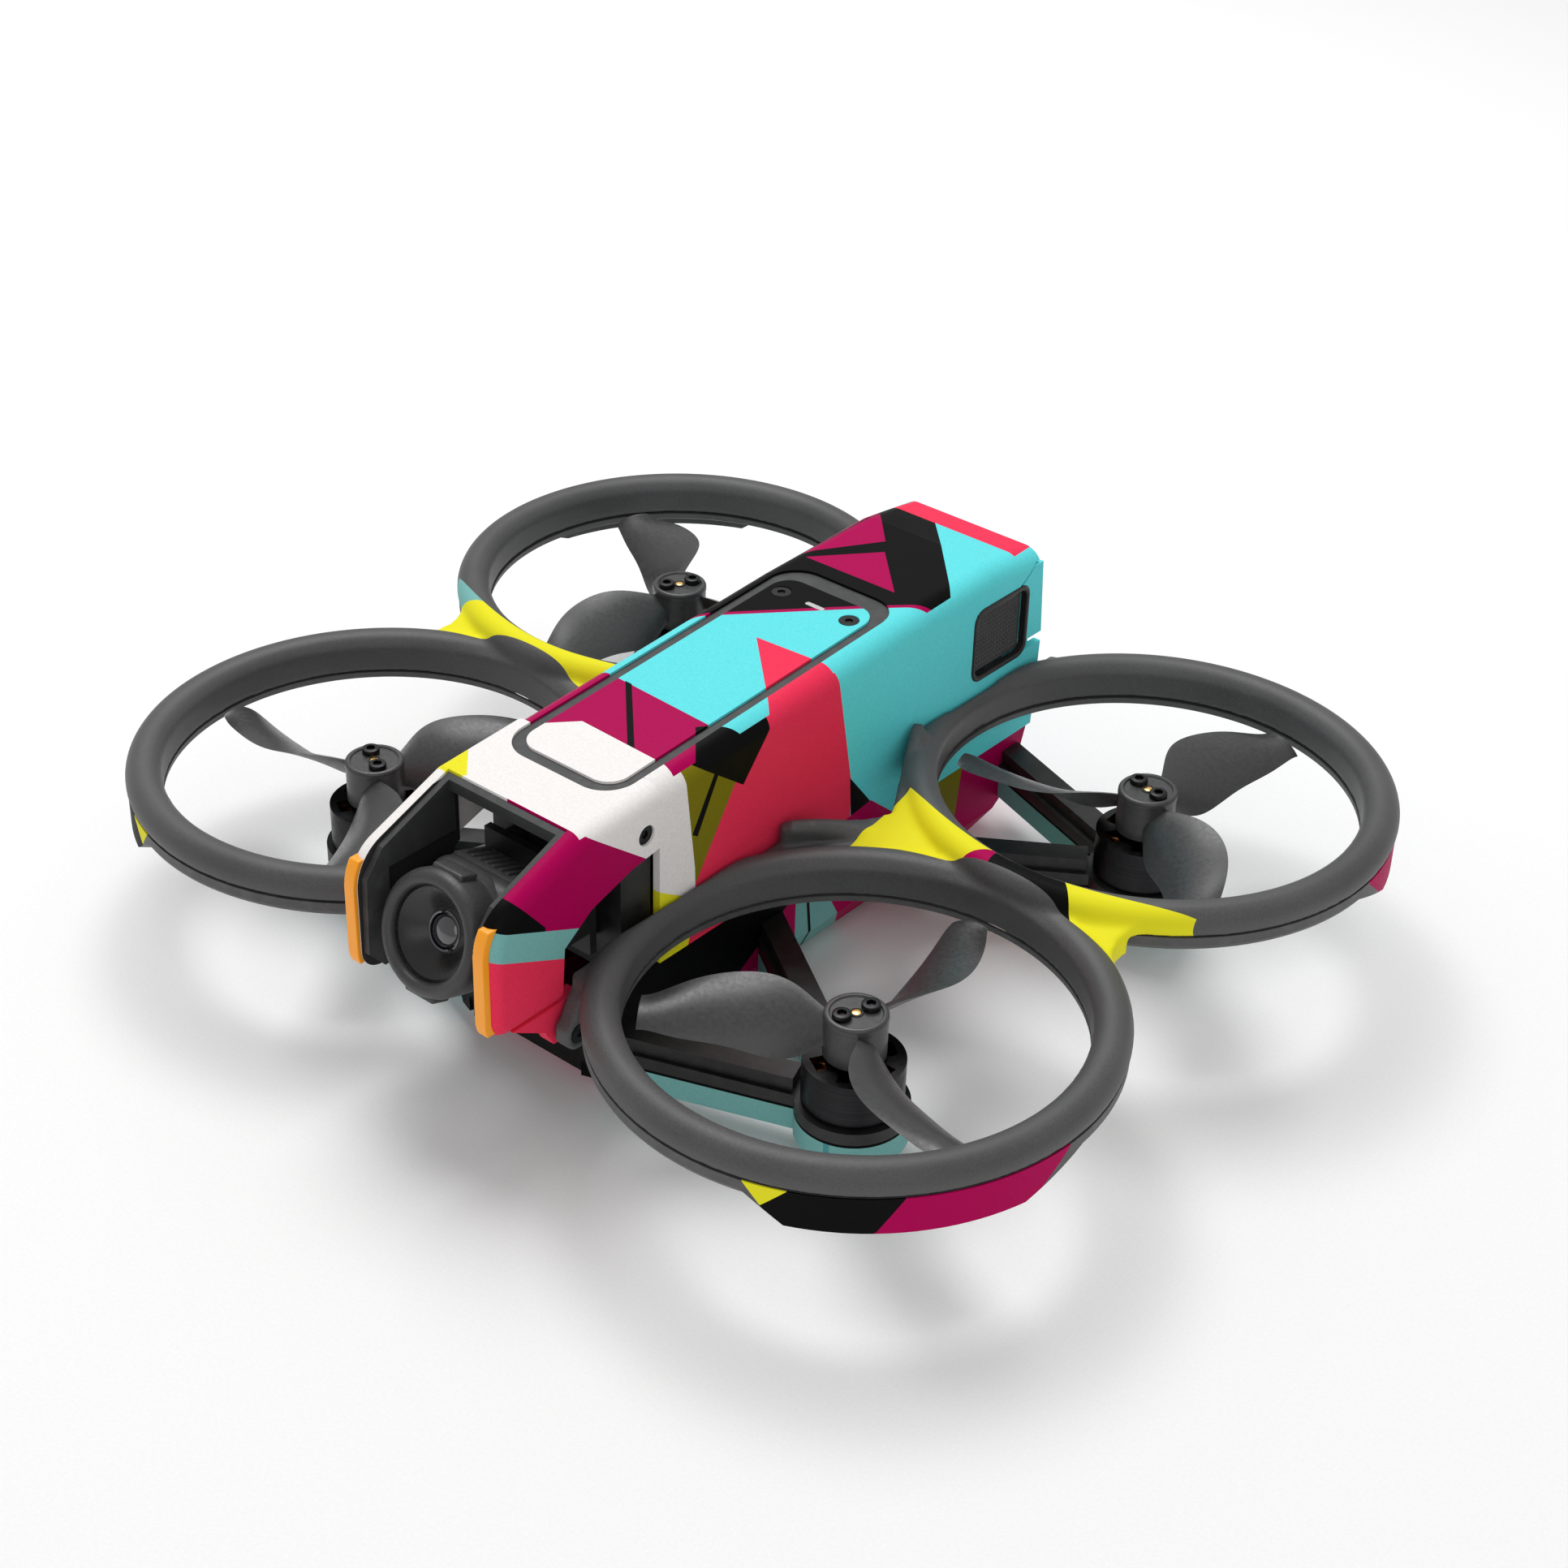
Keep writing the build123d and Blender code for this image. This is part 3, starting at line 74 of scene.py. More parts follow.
# ---------------------------------------------------------------- node helpers
class Shader:
    """A material with short calls for the nodes that it needs."""

    def __init__(self, name, roughness=0.5, metallic=0.0, specular=0.5, coat=0.0, coat_roughness=0.1):
        self.material = bpy.data.materials.new(name)
        self.material.use_nodes = True
        self.tree = self.material.node_tree
        self.bsdf = self.tree.nodes["Principled BSDF"]
        self.bsdf.inputs["Roughness"].default_value = roughness
        self.bsdf.inputs["Metallic"].default_value = metallic
        self.bsdf.inputs["Specular IOR Level"].default_value = specular
        self.bsdf.inputs["Coat Weight"].default_value = coat
        self.bsdf.inputs["Coat Roughness"].default_value = coat_roughness
        self.place = self.node("ShaderNodeTexCoord").outputs["Object"]
        self.mm = self.vector("SCALE", self.place, scale=1000.0)

    def node(self, kind):
        return self.tree.nodes.new(kind)

    def join(self, value, socket):
        if isinstance(value, bpy.types.NodeSocket):
            self.tree.links.new(value, socket)
        else:
            socket.default_value = value

    def math(self, kind, a, b=0.0, c=0.0, clamp=False):
        n = self.node("ShaderNodeMath")
        n.operation = kind
        n.use_clamp = clamp
        for value, socket in zip((a, b, c), n.inputs):
            self.join(value, socket)
        return n.outputs[0]

    def vector(self, kind, a, b=None, scale=None):
        n = self.node("ShaderNodeVectorMath")
        n.operation = kind
        self.join(a, n.inputs[0])
        if b is not None:
            self.join(b, n.inputs[1])
        if scale is not None:
            n.inputs["Scale"].default_value = scale
        return n.outputs["Value"] if kind in ("DOT_PRODUCT", "LENGTH", "DISTANCE") else n.outputs[0]

    def split(self, v):
        n = self.node("ShaderNodeSeparateXYZ")
        self.join(v, n.inputs[0])
        return n.outputs

    def combine(self, x, y, z):
        n = self.node("ShaderNodeCombineXYZ")
        for value, socket in zip((x, y, z), n.inputs):
            self.join(value, socket)
        return n.outputs[0]

    def noise(self, size, detail=2.0, roughness=0.5, v=None):
        """Noise with features about this many millimetres across."""
        n = self.node("ShaderNodeTexNoise")
        self.join(v or self.mm, n.inputs["Vector"])
        n.inputs["Scale"].default_value = 1.0 / size
        n.inputs["Detail"].default_value = detail
        n.inputs["Roughness"].default_value = roughness
        return n.outputs["Fac"]

    def span(self, value, low, high, to_low, to_high):
        n = self.node("ShaderNodeMapRange")
        for v, socket in zip((value, low, high, to_low, to_high), n.inputs):
            self.join(v, socket)
        return n.outputs[0]

    def mix(self, factor, a, b, kind="MIX"):
        n = self.node("ShaderNodeMix")
        n.data_type = "RGBA"
        n.blend_type = kind
        self.join(factor, n.inputs["Factor"])
        for value, socket in ((a, n.inputs["A"]), (b, n.inputs["B"])):
            self.join(value if isinstance(value, bpy.types.NodeSocket) else (*value, 1.0), socket)
        return n.outputs["Result"]

    def bump(self, height, depth):
        """Bump whose height 0..1 is this many millimetres deep."""
        n = self.node("ShaderNodeBump")
        n.inputs["Strength"].default_value = 1.0
        n.inputs["Distance"].default_value = depth * MM
        self.join(height, n.inputs["Height"])
        return n.outputs[0]

    def edge(self):
        """0 on flats, towards 1 on outward edges."""
        pointiness = self.node("ShaderNodeNewGeometry").outputs["Pointiness"]
        return self.span(pointiness, 0.52, 0.62, 0.0, 1.0)

    def colour(self, value):
        tone = value if isinstance(value, bpy.types.NodeSocket) else (*value, 1.0)
        self.join(tone, self.bsdf.inputs["Base Color"])

    def rough(self, value):
        self.join(value, self.bsdf.inputs["Roughness"])

    def sheen(self, value):
        self.join(value, self.bsdf.inputs["Specular IOR Level"])

    def normal(self, value):
        self.join(value, self.bsdf.inputs["Normal"])

    def inside(self, plane, corners):
        """1 inside a convex outline given by its corners in a flat projection."""
        area = sum(a[0] * b[1] - b[0] * a[1] for a, b in zip(corners, corners[1:] + corners[:1]))
        points = corners if area > 0 else corners[::-1]
        nearest = None
        for a, b in zip(points, points[1:] + points[:1]):
            length = hypot(b[0] - a[0], b[1] - a[1])
            nx, ny = -(b[1] - a[1]) / length, (b[0] - a[0]) / length
            distance = self.vector("DOT_PRODUCT", plane, (nx, ny, -nx * a[0] - ny * a[1]))
            nearest = distance if nearest is None else self.math("MINIMUM", nearest, distance)
        return self.math("GREATER_THAN", nearest, 0.0)

    def paint(self, under, plane, corners, colour, only=None):
        mask = self.inside(plane, corners)
        if only is not None:
            mask = self.math("MULTIPLY", mask, only)
        return self.mix(mask, under, colour)


# ---------------------------------------------------------------- plastics and metals
def moulded(name, colour, roughness=0.55, grain=0.35, depth=0.03, variation=0.12, specular=0.4):
    """Spark-eroded moulded plastic: fine pits, slight changes of tone at random, and a painted highlight in
    patches on outward edges.
    """
    s = Shader(name, roughness, specular=specular)
    fine = s.noise(grain, 3.0, 0.6)
    broad = s.noise(24.0, 2.0)
    shade = s.span(broad, 0.3, 0.7, 1.0 - variation, 1.0 + variation)
    speck = s.span(fine, 0.35, 0.65, 0.88, 1.12)
    tone = s.math("MULTIPLY", shade, speck)
    base = s.mix(1.0, colour, s.combine(tone, tone, tone), "MULTIPLY")
    # painted highlight: outward edges lightened in patches, standing in for light caught along the rounded
    # edges
    painted_edge_highlight = s.math("MULTIPLY", s.edge(), s.span(s.noise(3.0, 3.0), 0.45, 0.6, 0.0, 0.35))
    s.colour(s.mix(painted_edge_highlight, base, tuple(min(1.0, c * 1.8 + 0.01) for c in colour)))
    s.rough(s.span(fine, 0.3, 0.7, roughness - 0.08, roughness + 0.08))
    s.normal(s.bump(fine, depth))
    return s


def film(s, colour):
    """Printed vinyl wrap: fine orange peel, soft sheen."""
    fine = s.noise(0.45, 3.0, 0.6)
    speck = s.span(fine, 0.3, 0.7, 0.94, 1.06)
    s.colour(s.mix(1.0, colour, s.combine(speck, speck, speck), "MULTIPLY"))
    s.rough(s.span(s.noise(6.0, 2.0), 0.3, 0.7, 0.36, 0.46))
    s.normal(s.bump(fine, 0.018))
    return s


def metal(name, colour, roughness, turned=None, specular=0.5):
    """Machined metal with fine turning marks about a vertical axis at turned, or brushed at random."""
    s = Shader(name, roughness, metallic=1.0, specular=specular)
    if turned:
        radial = s.vector("DISTANCE", s.vector("MULTIPLY", s.mm, (1, 1, 0)), (turned[0], turned[1], 0))
        heights = s.split(s.mm)[2]
        marks = s.noise(0.18, 1.0, v=s.combine(radial, heights, 0.0))
    else:
        marks = s.noise(0.3, 2.0)
    tone = s.span(marks, 0.3, 0.7, 0.8, 1.2)
    s.colour(s.mix(1.0, colour, s.combine(tone, tone, tone), "MULTIPLY"))
    s.rough(s.span(s.noise(1.5, 3.0), 0.3, 0.7, roughness - 0.06, roughness + 0.1))
    s.normal(s.bump(marks, 0.01))
    return s


# ---------------------------------------------------------------- the wrap's colour blocks
def wrap(name, bare_ahead=None):
    """The fuselage wrap. Roof patches are laid out in plan, flank patches in elevation.

    Ahead of bare_ahead the plastic is left bare, as on the part of the battery that slides in.
    """
    s = Shader(name, 0.42, specular=FILM_SPECULAR)
    x, y, z = s.split(s.mm)
    plan = s.combine(x, y, 1.0)
    flank = s.combine(y, z, 1.0)
    away = s.math("ABSOLUTE", x)
    # the roof reaches down to the middle of the rounded edge
    roof = s.math("GREATER_THAN", s.math("ADD", s.math("SUBTRACT", FLANK_X, away), z),
                  s.math("MULTIPLY_ADD", y, 0.045, 62.0))
    side = s.math("SUBTRACT", 1.0, roof)
    c = TURQUOISE
    for corners, colour in ROOF_PATCHES:
        c = s.paint(c, plan, corners, colour, roof)
    for corners, colour in FLANK_PATCHES:
        c = s.paint(c, flank, corners, colour, side)
    if bare_ahead is not None:
        c = s.mix(s.math("LESS_THAN", y, bare_ahead), c, BARE_DARK)
    return film(s, c)


ROOF_PATCHES = (
    # tail
    (((-20, -6.5), (20, 32.5), (18.3, 34.3), (-3.5, 58.4), (-20, 58.4)), BLACK),
    (((-20, -6.5), (20, 32.5), (20, 33.9), (-20, -5.1)), CRIMSON),
    (((-15.2, 29.8), (-14.2, 52.9), (-5.7, 44.0)), CRIMSON),
    (((-20, 53.0), (-14.6, 53.6), (-16.4, 26.5), (-20, 22.0)), CRIMSON),
    (((-13.4, 28.8), (-3.1, 40.5), (8.3, 29.2)), CRIMSON),
    (((-20, 58.3), (20, 58.3), (20, 70), (-20, 70)), CORAL),
    # middle
    (((-1.2, 0.0), (18.5, -18.8), (18.5, 1.3)), CORAL),
    # front
    (((-20, -26.2), (-9, -26.6), (11.5, -27.6), (20, -36), (20, -60), (-20, -60)), CRIMSON),
    (((9.6, -29.0), (11.5, -27.8), (20, -16.6), (20, -40.6)), BLACK),
    (((-9.8, -26.4), (-8.2, -26.4), (6.6, -41.6), (4.9, -41.6)), BLACK),
    (((-20, -54), (-13.7, -47.8), (-6.8, -40.9), (12.7, -41.6), (20, -42.7), (20, -90), (-20, -90)), WHITE),
    (((-20, -66.5), (-17.5, -58.4), (-10.4, -65.8), (-12, -67.5)), YELLOW),
)
FLANK_PATCHES = (
    # olive between the white nose and the coral flank
    (((-41.5, 66), (-41.5, 20), (-30, 20), (-22, 53), (-32.3, 64)), OLIVE),
    (((-32.4, 56.0), (-31.0, 56.0), (-37.0, 44.5), (-38.4, 45.5)), BLACK),
    (((-17.5, 66), (1.4, 66), (4.6, 58.5), (5.9, 54), (6.5, 36), (7.4, 31.5), (7.4, 18), (-48, 18)), CORAL),
    (((-17.6, 66), (-17.7, 58.1), (-24.8, 49.6), (-40.5, 61.5), (-40.5, 66)), BLACK),
    (((6.2, 36.5), (7.2, 24), (16, 24), (12.5, 28.6)), BLACK),
    (((1.5, 27), (13, 28.3), (20.7, 21.7), (19, 12), (-12, 12)), CRIMSON),
    # nose end of the shell
    (((-60, 70), (-41.5, 70), (-39.0, 54), (-38.0, 50), (-37.6, 38), (-36.9, 32.5), (-41, 32.3), (-60, 45.5)),
     WHITE),
    (((-60, 45.8), (-36.6, 31.0), (-40, 20), (-60, 20)), YELLOW),
)


def nose_wrap(name):
    s = Shader(name, 0.42, specular=FILM_SPECULAR)
    x, y, z = s.split(s.mm)
    plan = s.combine(x, y, 1.0)
    flank = s.combine(y, z, 1.0)
    roof = s.math("GREATER_THAN", s.math("ADD", s.math("SUBTRACT", 17.8, s.math("ABSOLUTE", x)), z), 58.9)
    side = s.math("SUBTRACT", 1.0, roof)
    c = WHITE
    right = s.math("GREATER_THAN", x, 0.0)
    ahead = s.math("MULTIPLY", right, s.math("MAXIMUM", side, s.math("LESS_THAN", y, -66.3)))
    for corners, colour in NOSE_PATCHES:
        c = s.paint(c, flank, corners, colour, ahead)
    far = s.math("MULTIPLY", side, s.math("LESS_THAN", x, -16.9))
    for corners, colour in FAR_NOSE_PATCHES:
        c = s.paint(c, flank, corners, colour, far)
    c = s.paint(c, plan, ((-20, -66.5), (-17.5, -58.4), (-10.4, -65.8), (-12, -67.5)), YELLOW, roof)
    # bare dark plastic inside the window and behind it
    under = s.math("LESS_THAN", s.math("SUBTRACT", z, s.math("MULTIPLY", y, 0.0522)), 61.2)
    within = s.math("MULTIPLY", s.math("LESS_THAN", s.math("ABSOLUTE", x), 14.35), under)
    c = s.mix(within, c, BARE_DARK)
    return film(s, c)


NOSE_PATCHES = (
    (((-66.4, 59.2), (-46.0, 48.9), (-46, 10), (-95, 10), (-95, 52), (-75, 66)), CRIMSON),
    (((-89.5, 54.5), (-83.2, 54.5), (-75.7, 45.4), (-75.7, 43.0), (-89.5, 49.5)), BLACK),
    (((-95, 53.2), (-60, 37.6), (-60, 30), (-95, 30)), DULL_TEAL),
    (((-95, 47.5), (-64, 33.2), (-60, 5), (-95, 5)), CORAL),
)
FAR_NOSE_PATCHES = (
    (((-95, 40.0), (-64, 30.5), (-60, 5), (-95, 5)), CRIMSON),
    (((-60.0, 60), (-54.5, 60), (-46, 52), (-46, 46)), TURQUOISE),
)


def web_mask(s):
    """1 on the web, between two arcs that close in on the rings' crowns at its waist."""
    x, y, z = s.split(s.mm)
    beside = s.math("ABSOLUTE", x)
    off = s.math("SUBTRACT", beside, MOTOR_X)
    ease = s.math("MULTIPLY", s.math("MULTIPLY", off, off), 0.0045)
    outside = 1.0
    for motor_y, waist in ((-MOTOR_Y, 43.0), (MOTOR_Y, 41.6)):
        reach = s.vector("DISTANCE", s.combine(beside, y, 0.0), (MOTOR_X, motor_y, 0.0))
        clear = s.math("GREATER_THAN", s.math("SUBTRACT", reach, ease), waist)
        outside = s.math("MULTIPLY", clear, outside)
    return x, y, z, outside


def guard_wrap(name, side):
    """Textured grey guard plastic, with wrap patches on the web."""
    s = moulded(name, GREY, 0.5, 0.4, 0.035)
    base = s.bsdf.inputs["Base Color"].links[0].from_socket
    x, y, z, outside = web_mask(s)
    plan = s.combine(s.math("ABSOLUTE", x), y, 1.0)
    top = s.math("GREATER_THAN", z, 30.0)
    zone = s.math("MULTIPLY", outside, top)
    span = s.inside(plan, ((28.9, -8), (28.9, 20), (30.5, 24), (92, 24), (92, -12), (32, -12)))
    zone = s.math("MULTIPLY", zone, span)
    c = s.mix(zone, base, YELLOW)
    if side > 0:
        stripe = ((49.9, -1.4), (55, 4.2), (57.6, 4.0), (57.1, -0.5), (56, -20), (45, -12))
        waist = ((54.4, 3.2), (58.5, 9), (64.5, 7.7), (76.8, -5.0), (70, -20), (57.5, -20))
        c = s.paint(c, plan, stripe, CRIMSON, zone)
        c = s.paint(c, plan, waist, BLACK, zone)
    else:
        c = s.paint(c, plan, ((78, 5.5), (95, 1), (95, 25), (88, 25)), DULL_TEAL, zone)
    s.colour(c)
    s.sheen(s.span(zone, 0.0, 1.0, 0.4, FILM_SPECULAR))
    return s


def skirt_wrap(name, sx, sy):
    """Grey skirt whose deep part is wrapped in black, crimson and yellow."""
    s = moulded(name, GREY, 0.5, 0.4, 0.035)
    base = s.bsdf.inputs["Base Color"].links[0].from_socket
    x, y, z = s.split(s.mm)
    u = s.math("MULTIPLY_ADD", x, sx, -MOTOR_X)
    v = s.math("MULTIPLY_ADD", y, sy, -MOTOR_Y)
    reach = s.vector("LENGTH", s.combine(u, v, 0.0))
    outer = s.math("GREATER_THAN", reach, 46.3)
    lift = 0.0 if sy < 0 else REAR_RISE
    # how far round the ring, in degrees anticlockwise from the deep part's middle
    along = s.math("MULTIPLY", s.math("ARCTAN2", s.math("MULTIPLY", v, -1.0), u), 180 / pi)
    plane = s.combine(along, s.math("SUBTRACT", z, lift), 1.0)
    deep = ((-74, 40), (-1, 40), (-3.5, 29.3), (-17, 20), (-64, 20), (-74, 30))
    middle = ((-76, 40), (-24, 40), (-33.1, 29.8), (-46.8, 23.1), (-51, 18), (-76, 18))
    tip = ((-76, 40), (-64, 40), (-64, 30.2), (-69.5, 26.1), (-76, 22))
    zone = s.math("MULTIPLY", outer, s.inside(plane, deep))
    c = s.mix(zone, base, CRIMSON)
    c = s.paint(c, plane, middle, BLACK, zone)
    c = s.paint(c, plane, tip, YELLOW, zone)
    s.colour(c)
    s.sheen(s.span(zone, 0.0, 1.0, 0.4, FILM_SPECULAR))
    return s


def belly_wrap(name):
    """Wrapped underside of the belly and arms, black plastic on top."""
    s = Shader(name, 0.45, specular=FILM_SPECULAR)
    x, y, z = s.split(s.mm)
    flank = s.combine(y, z, 1.0)
    plan = s.combine(s.math("ABSOLUTE", x), y, 1.0)
    lift = s.span(y, -4.0, 4.0, 0.0, REAR_RISE)
    level = s.math("SUBTRACT", z, lift)
    low = s.math("LESS_THAN", level, 9.6)
    outboard = s.math("GREATER_THAN", s.math("ABSOLUTE", x), 17.2)
    c = s.mix(low, BLACK, DULL_TEAL)
    arm = s.math("MULTIPLY", low, outboard)
    for corners, colour in ARM_PATCHES:
        c = s.paint(c, plan, corners, colour, arm)
    body = s.math("SUBTRACT", 1.0, outboard)
    for corners, colour in BELLY_PATCHES:
        c = s.paint(c, flank, corners, colour, body)
    return film(s, c)


ARM_PATCHES = (
    (((61.4, -49.4), (65.5, -51.0), (61.6, -54.5)), DEEP_TEAL),
    (((14, 25), (34, 32), (50, 44), (75, 30), (75, 20), (14, 5)), CRIMSON),
    (((36, 33), (52, 45), (56, 40), (42, 30)), YELLOW),
)
BELLY_PATCHES = (
    (((-70, 0), (-70, 24), (70, 24), (70, 0)), CRIMSON),
    (((-8.1, -2), (-8.1, 24), (-5.0, 24), (7.5, 1.0), (8.5, -2)), DULL_TEAL),
    (((-4.9, 14.0), (-4.1, 14.0), (-2.4, -2), (-3.2, -2)), BLACK),
    (((22, -2), (34, 26), (44, 26), (40, -2)), OLIVE),
    (((-70, -2), (-70, 26), (-8.1, 26), (-8.1, 4.0), (-30, 4.0), (-40, -2)), BLACK),
)


def dress(s, *nodes):
    """Gives a shader's material to CAD nodes."""
    for node in nodes:
        slots = NODES[node].data.materials
        slots.clear()
        slots.append(s.material)


def everywhere(stem):
    return [f"{stem}_{corner}" for corner in CORNERS]


dress(wrap("wrap_body"), "upper_shell", "hatch_panel")
dress(wrap("wrap_battery", CAP_SEAM_Y), "battery_case")
dress(nose_wrap("wrap_nose"), "nose_frame")
dress(belly_wrap("wrap_belly"), "lower_frame")
SIDES = (("right", 1), ("left", -1))
guard_shaders = {name: guard_wrap(f"guard_plastic_{name}", side) for name, side in SIDES}
for side_name, shader in guard_shaders.items():
    dress(shader, f"guard_{side_name}")
for corner, (sx, sy) in CORNERS.items():
    dress(skirt_wrap(f"skirt_{corner}", sx, sy), f"guard_skirt_{corner}")

black_plastic = moulded("black_plastic", (0.012, 0.012, 0.012), 0.42, 0.35, 0.02)
dress(black_plastic, "bulkhead", "gimbal_yoke", "cooling_fan", "contact_block", *everywhere("arm_cover"))
dress(moulded("trim_plastic", (0.035, 0.036, 0.037), 0.5, 0.3, 0.03), "hatch_trim", "nose_trim")
camera_plastic = moulded("camera_plastic", (0.062, 0.062, 0.063), 0.45, 0.3, 0.03)
dress(camera_plastic, "camera_body", "camera_cover")
lens_plastic = moulded("lens_plastic", (0.042, 0.042, 0.043), 0.42, 0.4, 0.015)
dress(lens_plastic, "lens_ring")
button_plastic = moulded("button_plastic", (0.05, 0.05, 0.051), 0.5, 0.3, 0.02)
dress(button_plastic, "release_button_right", "release_button_left", "power_button")
blade_plastic = moulded("blade_plastic", (0.045, 0.045, 0.046), 0.36, 0.8, 0.012, 0.06, 0.5)
dress(blade_plastic, *everywhere("propeller"))
for corner, (sx, sy) in CORNERS.items():
    axis = (sx * MOTOR_X, sy * MOTOR_Y)
    dress(metal(f"anodised_{corner}", (0.028, 0.028, 0.03), 0.34, axis), f"motor_bell_{corner}")
dress(metal("lamination", (0.05, 0.045, 0.04), 0.45), *everywhere("motor_stator"))
black_steel = metal("black_steel", (0.035, 0.035, 0.037), 0.38)
dress(black_steel, "hatch_screws", "side_screws", "gimbal_motor", *everywhere("propeller_screws"))
dress(metal("aluminium", (0.62, 0.63, 0.65), 0.35), "heat_sink", "usb_port")
dress(metal("gold_plate", (0.85, 0.6, 0.25), 0.3), "battery_contacts")
dress(metal("foil", (0.55, 0.56, 0.58), 0.35), "battery_cells")
dress(moulded("silicone", (0.01, 0.01, 0.01), 0.65, 0.6, 0.02), "belly_pads", "gimbal_dampers")
amber = Shader("amber_strip", 0.3, specular=0.4)
amber_tone = amber.noise(9.0, 1.0)
amber.colour(amber.mix(amber_tone, (1.0, 0.33, 0.012), (1.0, 0.40, 0.016)))
amber.normal(amber.bump(amber.noise(0.5, 2.0), 0.006))
dress(amber, "bumper_right", "bumper_left")
dress(moulded("milky_window", (0.55, 0.55, 0.54), 0.3, 0.5, 0.01), "status_light", "battery_leds")
dress(moulded("solder_mask", (0.01, 0.05, 0.025), 0.35, 0.8, 0.02), "main_board", "antennas")
dress(moulded("dark_window", (0.004, 0.004, 0.005), 0.12, 2.0, 0.002), "sensor_windows")


def glass(name):
    s = Shader(name, 0.03, specular=0.9, coat=1.0, coat_roughness=0.02)
    centre = s.noise(14.0, 1.0)
    s.colour(s.mix(centre, (0.004, 0.004, 0.006), (0.014, 0.012, 0.02)))
    return s


coated_glass = glass("coated_glass")
dress(coated_glass, "lens_glass")


# ---------------------------------------------------------------- mesh helpers
def piece(name, mesh, shader, body, replaced=()):
    """A visible piece from a mesh in metres, riding a body and taking the given shader's material."""
    item = bpy.data.objects.new(name, mesh)
    bpy.context.scene.collection.objects.link(item)
    mesh.materials.clear()
    mesh.materials.append(shader.material)
    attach(item, body)
    if replaced:
        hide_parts(*replaced)
    return item


def finish_mesh(name, bm, angle=35.0):
    bmesh.ops.recalc_face_normals(bm, faces=bm.faces)
    mesh = bpy.data.meshes.new(name)
    bm.to_mesh(mesh)
    bm.free()
    for polygon in mesh.polygons:
        polygon.use_smooth = True
    mesh.set_sharp_from_angle(angle=radians(angle))
    return mesh


def lathe(bm, profile, place, steps=64):
    """Turns a closed outline of (radius, height) in millimetres about place's own Z axis."""
    rings = []
    for k in range(steps):
        turn = 2 * pi * k / steps
        points = [Vector((r * cos(turn), r * sin(turn), h)) for r, h in profile]
        rings.append([bm.verts.new(place @ (point * MM)) for point in points])
    count = len(profile)
    for k in range(steps):
        here, there = rings[k], rings[(k + 1) % steps]
        for i in range(count):
            j = (i + 1) % count
            bm.faces.new((here[i], here[j], there[j], there[i]))


def rounded_block(bm, size, place, edge, segments=2):
    """A box with rounded edges; size and edge in millimetres."""
    made = bmesh.ops.create_cube(bm, size=1.0)
    bmesh.ops.scale(bm, vec=Vector(size) * MM, verts=made["verts"])
    edges = list({e for v in made["verts"] for e in v.link_edges})
    bevel = bmesh.ops.bevel(bm, geom=edges, offset=edge * MM, segments=segments, profile=0.5, affect="EDGES")
    verts = {v for f in bevel["faces"] for v in f.verts} | {v for v in made["verts"] if v.is_valid}
    bmesh.ops.transform(bm, matrix=place, verts=list(verts))


def tube(bm, path, radii, steps=14):
    """A closed round tube along points in millimetres, with a radius at each."""
    rings = []
    for i, point in enumerate(path):
        ahead = Vector(path[min(i + 1, len(path) - 1)]) - Vector(path[max(i - 1, 0)])
        frame_at = ahead.to_track_quat("Z", "Y").to_matrix()
        ring = []
        for k in range(steps):
            turn = 2 * pi * k / steps
            off = frame_at @ Vector((radii[i] * cos(turn), radii[i] * sin(turn), 0))
            ring.append(bm.verts.new((Vector(point) + off) * MM))
        rings.append(ring)
    for here, there in zip(rings, rings[1:]):
        for k in range(steps):
            j = (k + 1) % steps
            bm.faces.new((here[k], here[j], there[j], there[k]))
    bm.faces.new(rings[0][::-1])
    bm.faces.new(rings[-1])


# ---------------------------------------------------------------- guards: blended mouldings
GUARD_VOXEL = 0.55
SMOOTH_ROUNDS = 9
BUMPER_VOXEL = 0.18
BUMPER_ROUNDS = 3


def arc_points(start, middle, end, count):
    """Points on a quadratic curve through three control points."""
    out = []
    for k in range(count):
        t = k / (count - 1)
        controls = zip(start, middle, end)
        out.append(tuple((1 - t) ** 2 * a + 2 * t * (1 - t) * b + t * t * c for a, b, c in controls))
    return out


def softened(name, mesh, voxel, rounds):
    """One skin round a mesh, with its edges rounded over."""
    item = bpy.data.objects.new(name + "_work", mesh)
    bpy.context.scene.collection.objects.link(item)
    remesh = item.modifiers.new("remesh", "REMESH")
    remesh.mode = "VOXEL"
    remesh.voxel_size = voxel * MM
    smooth = item.modifiers.new("smooth", "SMOOTH")
    smooth.factor = 0.5
    smooth.iterations = rounds
    graph = bpy.context.evaluated_depsgraph_get()
    skin = bpy.data.meshes.new_from_object(item.evaluated_get(graph))
    bpy.data.objects.remove(item)
    for polygon in skin.polygons:
        polygon.use_smooth = True
    return skin


def bumper_mesh(node):
    return softened(node, NODES[node].data.copy(), BUMPER_VOXEL, BUMPER_ROUNDS)


def guard_mesh(node, side):
    """The guard's CAD solid with its finger and fin, blended into one skin with soft edges."""
    bm = bmesh.new()
    bm.from_mesh(NODES[node].data)
    finger = arc_points((34.0, 1.0, 29.4), (25.5, -3.0, 34.0), (20.1, -15.0, 36.6), 12)
    tube(bm, [(side * x, y, z) for x, y, z in finger], [3.0 - 0.125 * k for k in range(12)])
    fin = arc_points((32.0, 7.0, 29.6), (22.5, 19.0, 33.0), (20.0, 25.0, 39.0), 12)
    tube(bm, [(side * x, y, z) for x, y, z in fin], [2.8 - 0.1 * k for k in range(12)])
    mesh = bpy.data.meshes.new(node + "_skin")
    bm.to_mesh(mesh)
    bm.free()
    return softened(node, mesh, GUARD_VOXEL, SMOOTH_ROUNDS)


